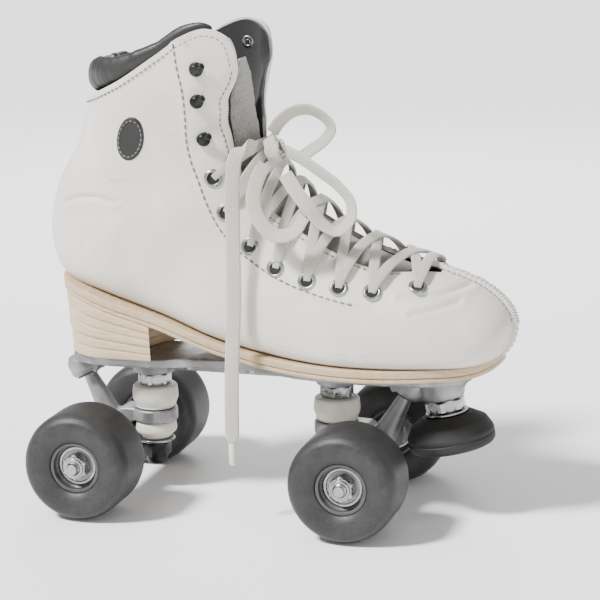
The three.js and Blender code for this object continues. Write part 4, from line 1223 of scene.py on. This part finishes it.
def strip(centres, across, widths, thick=LACE_THICK):
    """A flat woven strip along centres, with its map in metres: along it, and across it."""
    along = unit(np.gradient(centres, axis=0))
    across = unit(across - (across * along).sum(1)[:, None] * along)
    normal = np.cross(along, across)
    length = np.concatenate([[0], np.cumsum(strides(centres))])
    section = []
    for k in range(16):
        angle = 2 * math.pi * (k + 0.5) / 16
        c, s = math.cos(angle), math.sin(angle)
        section.append((math.copysign(abs(c) ** 0.45, c), math.copysign(abs(s) ** 0.7, s)))
    rings, uvs = [], []
    for i in range(len(centres)):
        depth = thick * (0.5 + 0.35 * (1 - widths[i] / LACE_WIDTH))
        rings.append([centres[i] + across[i] * a * widths[i] / 2 + normal[i] * b * depth for a, b in section])
        uvs.extend([(length[i] / 1000, a * LACE_WIDTH / 2000) for a, _ in section])
    return *skin(rings), np.array(uvs)


def strips_object(name, strips, node):
    """One piece of lace in the place of a CAD node, with its weave mapped along every strip."""
    solid = merge(*[(points, faces) for points, faces, _ in strips])
    uvs = np.concatenate([uv for _, _, uv in strips])
    made = raw_object(name, solid)
    mesh = made.data
    corners = np.empty(len(mesh.loops), int)
    mesh.loops.foreach_get("vertex_index", corners)
    layer = mesh.uv_layers.new(name="weave")
    layer.data.foreach_set("uv", uvs[corners].reshape(-1))
    return finished(made, "lace", [node], 60)


def crossing(start, end, side):
    """A strap from one eyelet over the tongue into the next row's eyelet on the other side."""
    t = np.linspace(0, 1, 54)
    s = EYELETS[start][0] + (EYELETS[end][0] - EYELETS[start][0]) * t
    y = side * (EYELETS[start][1] - 0.1 - (EYELETS[end][1] + EYELETS[start][1] - 0.2) * t)
    over = side * np.exp(-((t - 0.5) ** 2) / 0.02)
    ends = smooth_step(np.minimum(t, 1 - t) / 0.05)
    lift = 0.15 + 3.15 * ends + over + 0.25 * np.sin(t * 9 + start)
    centres = on_top(s, y) + top_normal(s, y) * lift[:, None]
    across = unit(on_top(s + 0.1, y) - on_top(s - 0.1, y))
    return strip(centres, across, 4.0 + 1.8 * smooth_step((np.minimum(t, 1 - t) + 0.01) / 0.12))


KNOT = np.array([26, -17.5, 205])
LEAN = -0.5
# Each free part's CAD node, its route from the knot, the way its width points along the route, what its far
# end is, and how it lies.
FREE_PARTS = {
    "bow_upper_loop": ("lace_loop_upper", [
        (24, -15, 214), (27, -14, 219), (34, -13, 225), (43, -12, 227), (52, -11, 223), (56, -10, 217),
        (52, -9, 210), (44, -8, 204), (37, -7, 199),
    ], [(-0.4, LEAN, 0.8), (0.3, LEAN, 0.8), (0.85, LEAN, 0.1), (0.4, LEAN, -0.75)], "object", "loose"),
    "bow_forward_loop": ("lace_loop_forward", [
        (34, -21, 205), (43, -25, 202), (54, -28, 196), (65, -30, 189), (73, -32, 180), (73, -34, 171),
        (66, -36, 165), (58, -37, 169), (51, -37, 177), (43, -35, 186), (36, -31, 194),
    ], [(0.4, LEAN, 0.75), (0.5, LEAN, 0.7), (0.85, LEAN, 0), (0, LEAN, -0.85), (-0.6, LEAN, -0.6)],
        "object", "loose"),
    "short_tail": ("lace_tail", [
        (24, -30, 199), (22, -38, 191), (22, -45, 181), (27, -49, 171), (36, -50, 164), (46, -49, 166),
        (51, -46, 174),
    ], [(-0.8, LEAN, 0.2), (-0.85, LEAN, -0.1), (-0.3, LEAN, -0.8), (0.7, LEAN, -0.5)], "bare", "loose"),
    "hanging_end": ("lace_end", [
        (18, -27, 207), (14, -33, 209), (11, -39, 205), (10, -43, 194), (10.5, -46, 165), (11, -48, 127),
        (9.5, -50, 82), (9, -50, 46),
    ], [(0.6, 0.6, 0.5), (1, 0.2, 0), (1, 0.1, 0), (1, 0.2, 0)], "fitting", "hanging"),
}


def free_strip(name):
    """A free part of the lace, turned evenly along its route; a fitting's end is narrowed to go into it."""
    node, route, widths, far_end, lay = FREE_PARTS[name]
    count = 40 + 8 * len(route)
    centres = smooth_line(route, count)
    place = np.linspace(0, len(widths) - 1, count)
    across = np.stack([np.interp(place, range(len(widths)), [w[k] for w in widths]) for k in range(3)], 1)
    to_end = np.linalg.norm(centres - centres[-1], axis=1)
    taper = 1 - 0.45 * (1 - smooth_step(to_end / 4.5)) * (far_end == "fitting")
    made = strips_object(name, [strip(centres, across, LACE_WIDTH * taper)], node)


# The strips wound once round the knot: offset from it, radii, and turns about X and Y.
WRAPS = [
    ((0, 0, 0), (4.4, 5.4), 1.2, 0.5),
    ((1, -1, -1), (5.2, 4.4), 0.35, 1.25),
    ((-1, 1, 0.5), (5.6, 6.4), -0.5, 0.9),
]
AGLET, AGLET_PLACE = [(0, 0), (1.3, 0), (1.9, 1.5), (2.1, 12.7), (0, 12.7)], (9, -50, 33)


def knot_wrap(offset, radii, about_x, about_y):
    angle = np.linspace(0, 2 * math.pi * 0.96, 60)
    flat = np.stack([radii[0] * np.cos(angle), radii[1] * np.sin(angle), 0.8 * np.sin(2 * angle)], 1)
    turn = np.array((Matrix.Rotation(about_x, 4, "X") @ Matrix.Rotation(about_y, 4, "Y")).to_3x3())
    return strip(flat @ turn.T + KNOT + offset, np.tile(turn[:, 2], (60, 1)), np.full(60, 7.0), 2.0)


def make_laces():
    straps = [crossing(0, 0, 1)]
    for row in range(len(EYELETS) - 1):
        straps += [crossing(row, row + 1, 1), crossing(row, row + 1, -1)]
    strips_object("crossed_laces", straps, "lacing")
    strips_object("bow_knot", [knot_wrap(*wrap) for wrap in WRAPS], "lace_knot")
    for name in ("bow_upper_loop", "bow_forward_loop", "short_tail"):
        free_strip(name)
    aglet = stand_in("lace_aglet", lathed(AGLET, 0.4, 32), "tip", Matrix.Translation(AGLET_PLACE))
    free_strip("hanging_end")


GROMMET = [(3.1, -1.0), (3.9, 0.4), (5.0, 0.0), (5.1, 0.4), (4.3, 1.05), (3.5, 0.95), (3.0, 0.1)]
# A disc laid over the leather inside each eyelet, in the lining's black: painted shade for the hole's dark
# inside, where no hole is cut.
HOLE_SHADE = [(0, 0.12), (3.3, 0.12), (3.3, -0.8), (0, -0.8)]
KNOB = [(0, -0.3), (4.1, -0.3), (4.1, 0.5), (3.4, 0.9), (3.3, 2.6), (2.2, 3.9), (0, 4.4)]
ARM = [(0, 0), (1.15, 0), (1.15, 4.2), (1.9, 4.8), (1.9, 6.0), (0, 6.4)]
RIVET = [(0, 0.6), (1.2, 0.6), (1.6, 0.2), (2.3, 1.2), (3.4, 0.9), (3.6, 0), (0, -0.4)]


def make_metalwork():
    """The eyelets, each with a black disc of painted shade over its hole, the hooks above them and the hooks'
    rivets inside the boot.
    """
    grommet, hole_shade = lathed(GROMMET, 0.3, 40), turned(HOLE_SHADE, 32)
    knob, arm, rivet = lathed(KNOB, 0.4, 40), lathed(ARM, 0.3, 24), lathed(RIVET, 0.3, 32)
    rings, hole_shades, hooks, rivets = [], [], [], []
    for side in (-1, 1):
        for s, y in EYELETS:
            outward = top_normal(s, side * y)[0]
            seat = surface_frame(on_top(s, side * y)[0] + 0.75 * outward, outward)
            rings.append(placed(grommet, seat))
            hole_shades.append(placed(hole_shade, seat))
        for x, z in HOOKS:
            place = (x + 7, z + 8) if side > 0 else (x, z)  # further forward and higher on the inner ear
            lifts = (0.7, 3.7, 0.05 - INNER, -INNER - 3)
            low, high, inner, deeper = (on_side(*place, side, lift)[0] for lift in lifts)
            hooks.append(placed(knob, surface_frame(low, high - low)))
            hooks.append(placed(arm, surface_frame(high - (high - low) * 0.25, (0.85, side * 0.3, 0.4))))
            rivets.append(placed(rivet, surface_frame(inner, deeper - inner)))
    piece("eyelets", merge(*rings), "steel")
    # The black discs in the eyelets are painted shade standing in for the holes.
    piece("eyelet_holes", merge(*hole_shades), "lining")
    piece("lace_hooks", merge(*hooks), "blackened")
    piece("hook_rivets", merge(*rivets), "steel")


# ---------------------------------------------------------------- the skate
add_camera()
add_studio()
make_laces()
make_upper()
make_toe_strip()
make_collar()
make_tongue()
make_ovals()
make_metalwork()
make_sole()
from_node("footbed_leather", "footbed", 0.8, 4, "footbed")
from_node("plate_casting", "plate", 0.7, 6, "aluminium")
for truck_end in ENDS:
    make_truck(truck_end)
make_toe_stop()
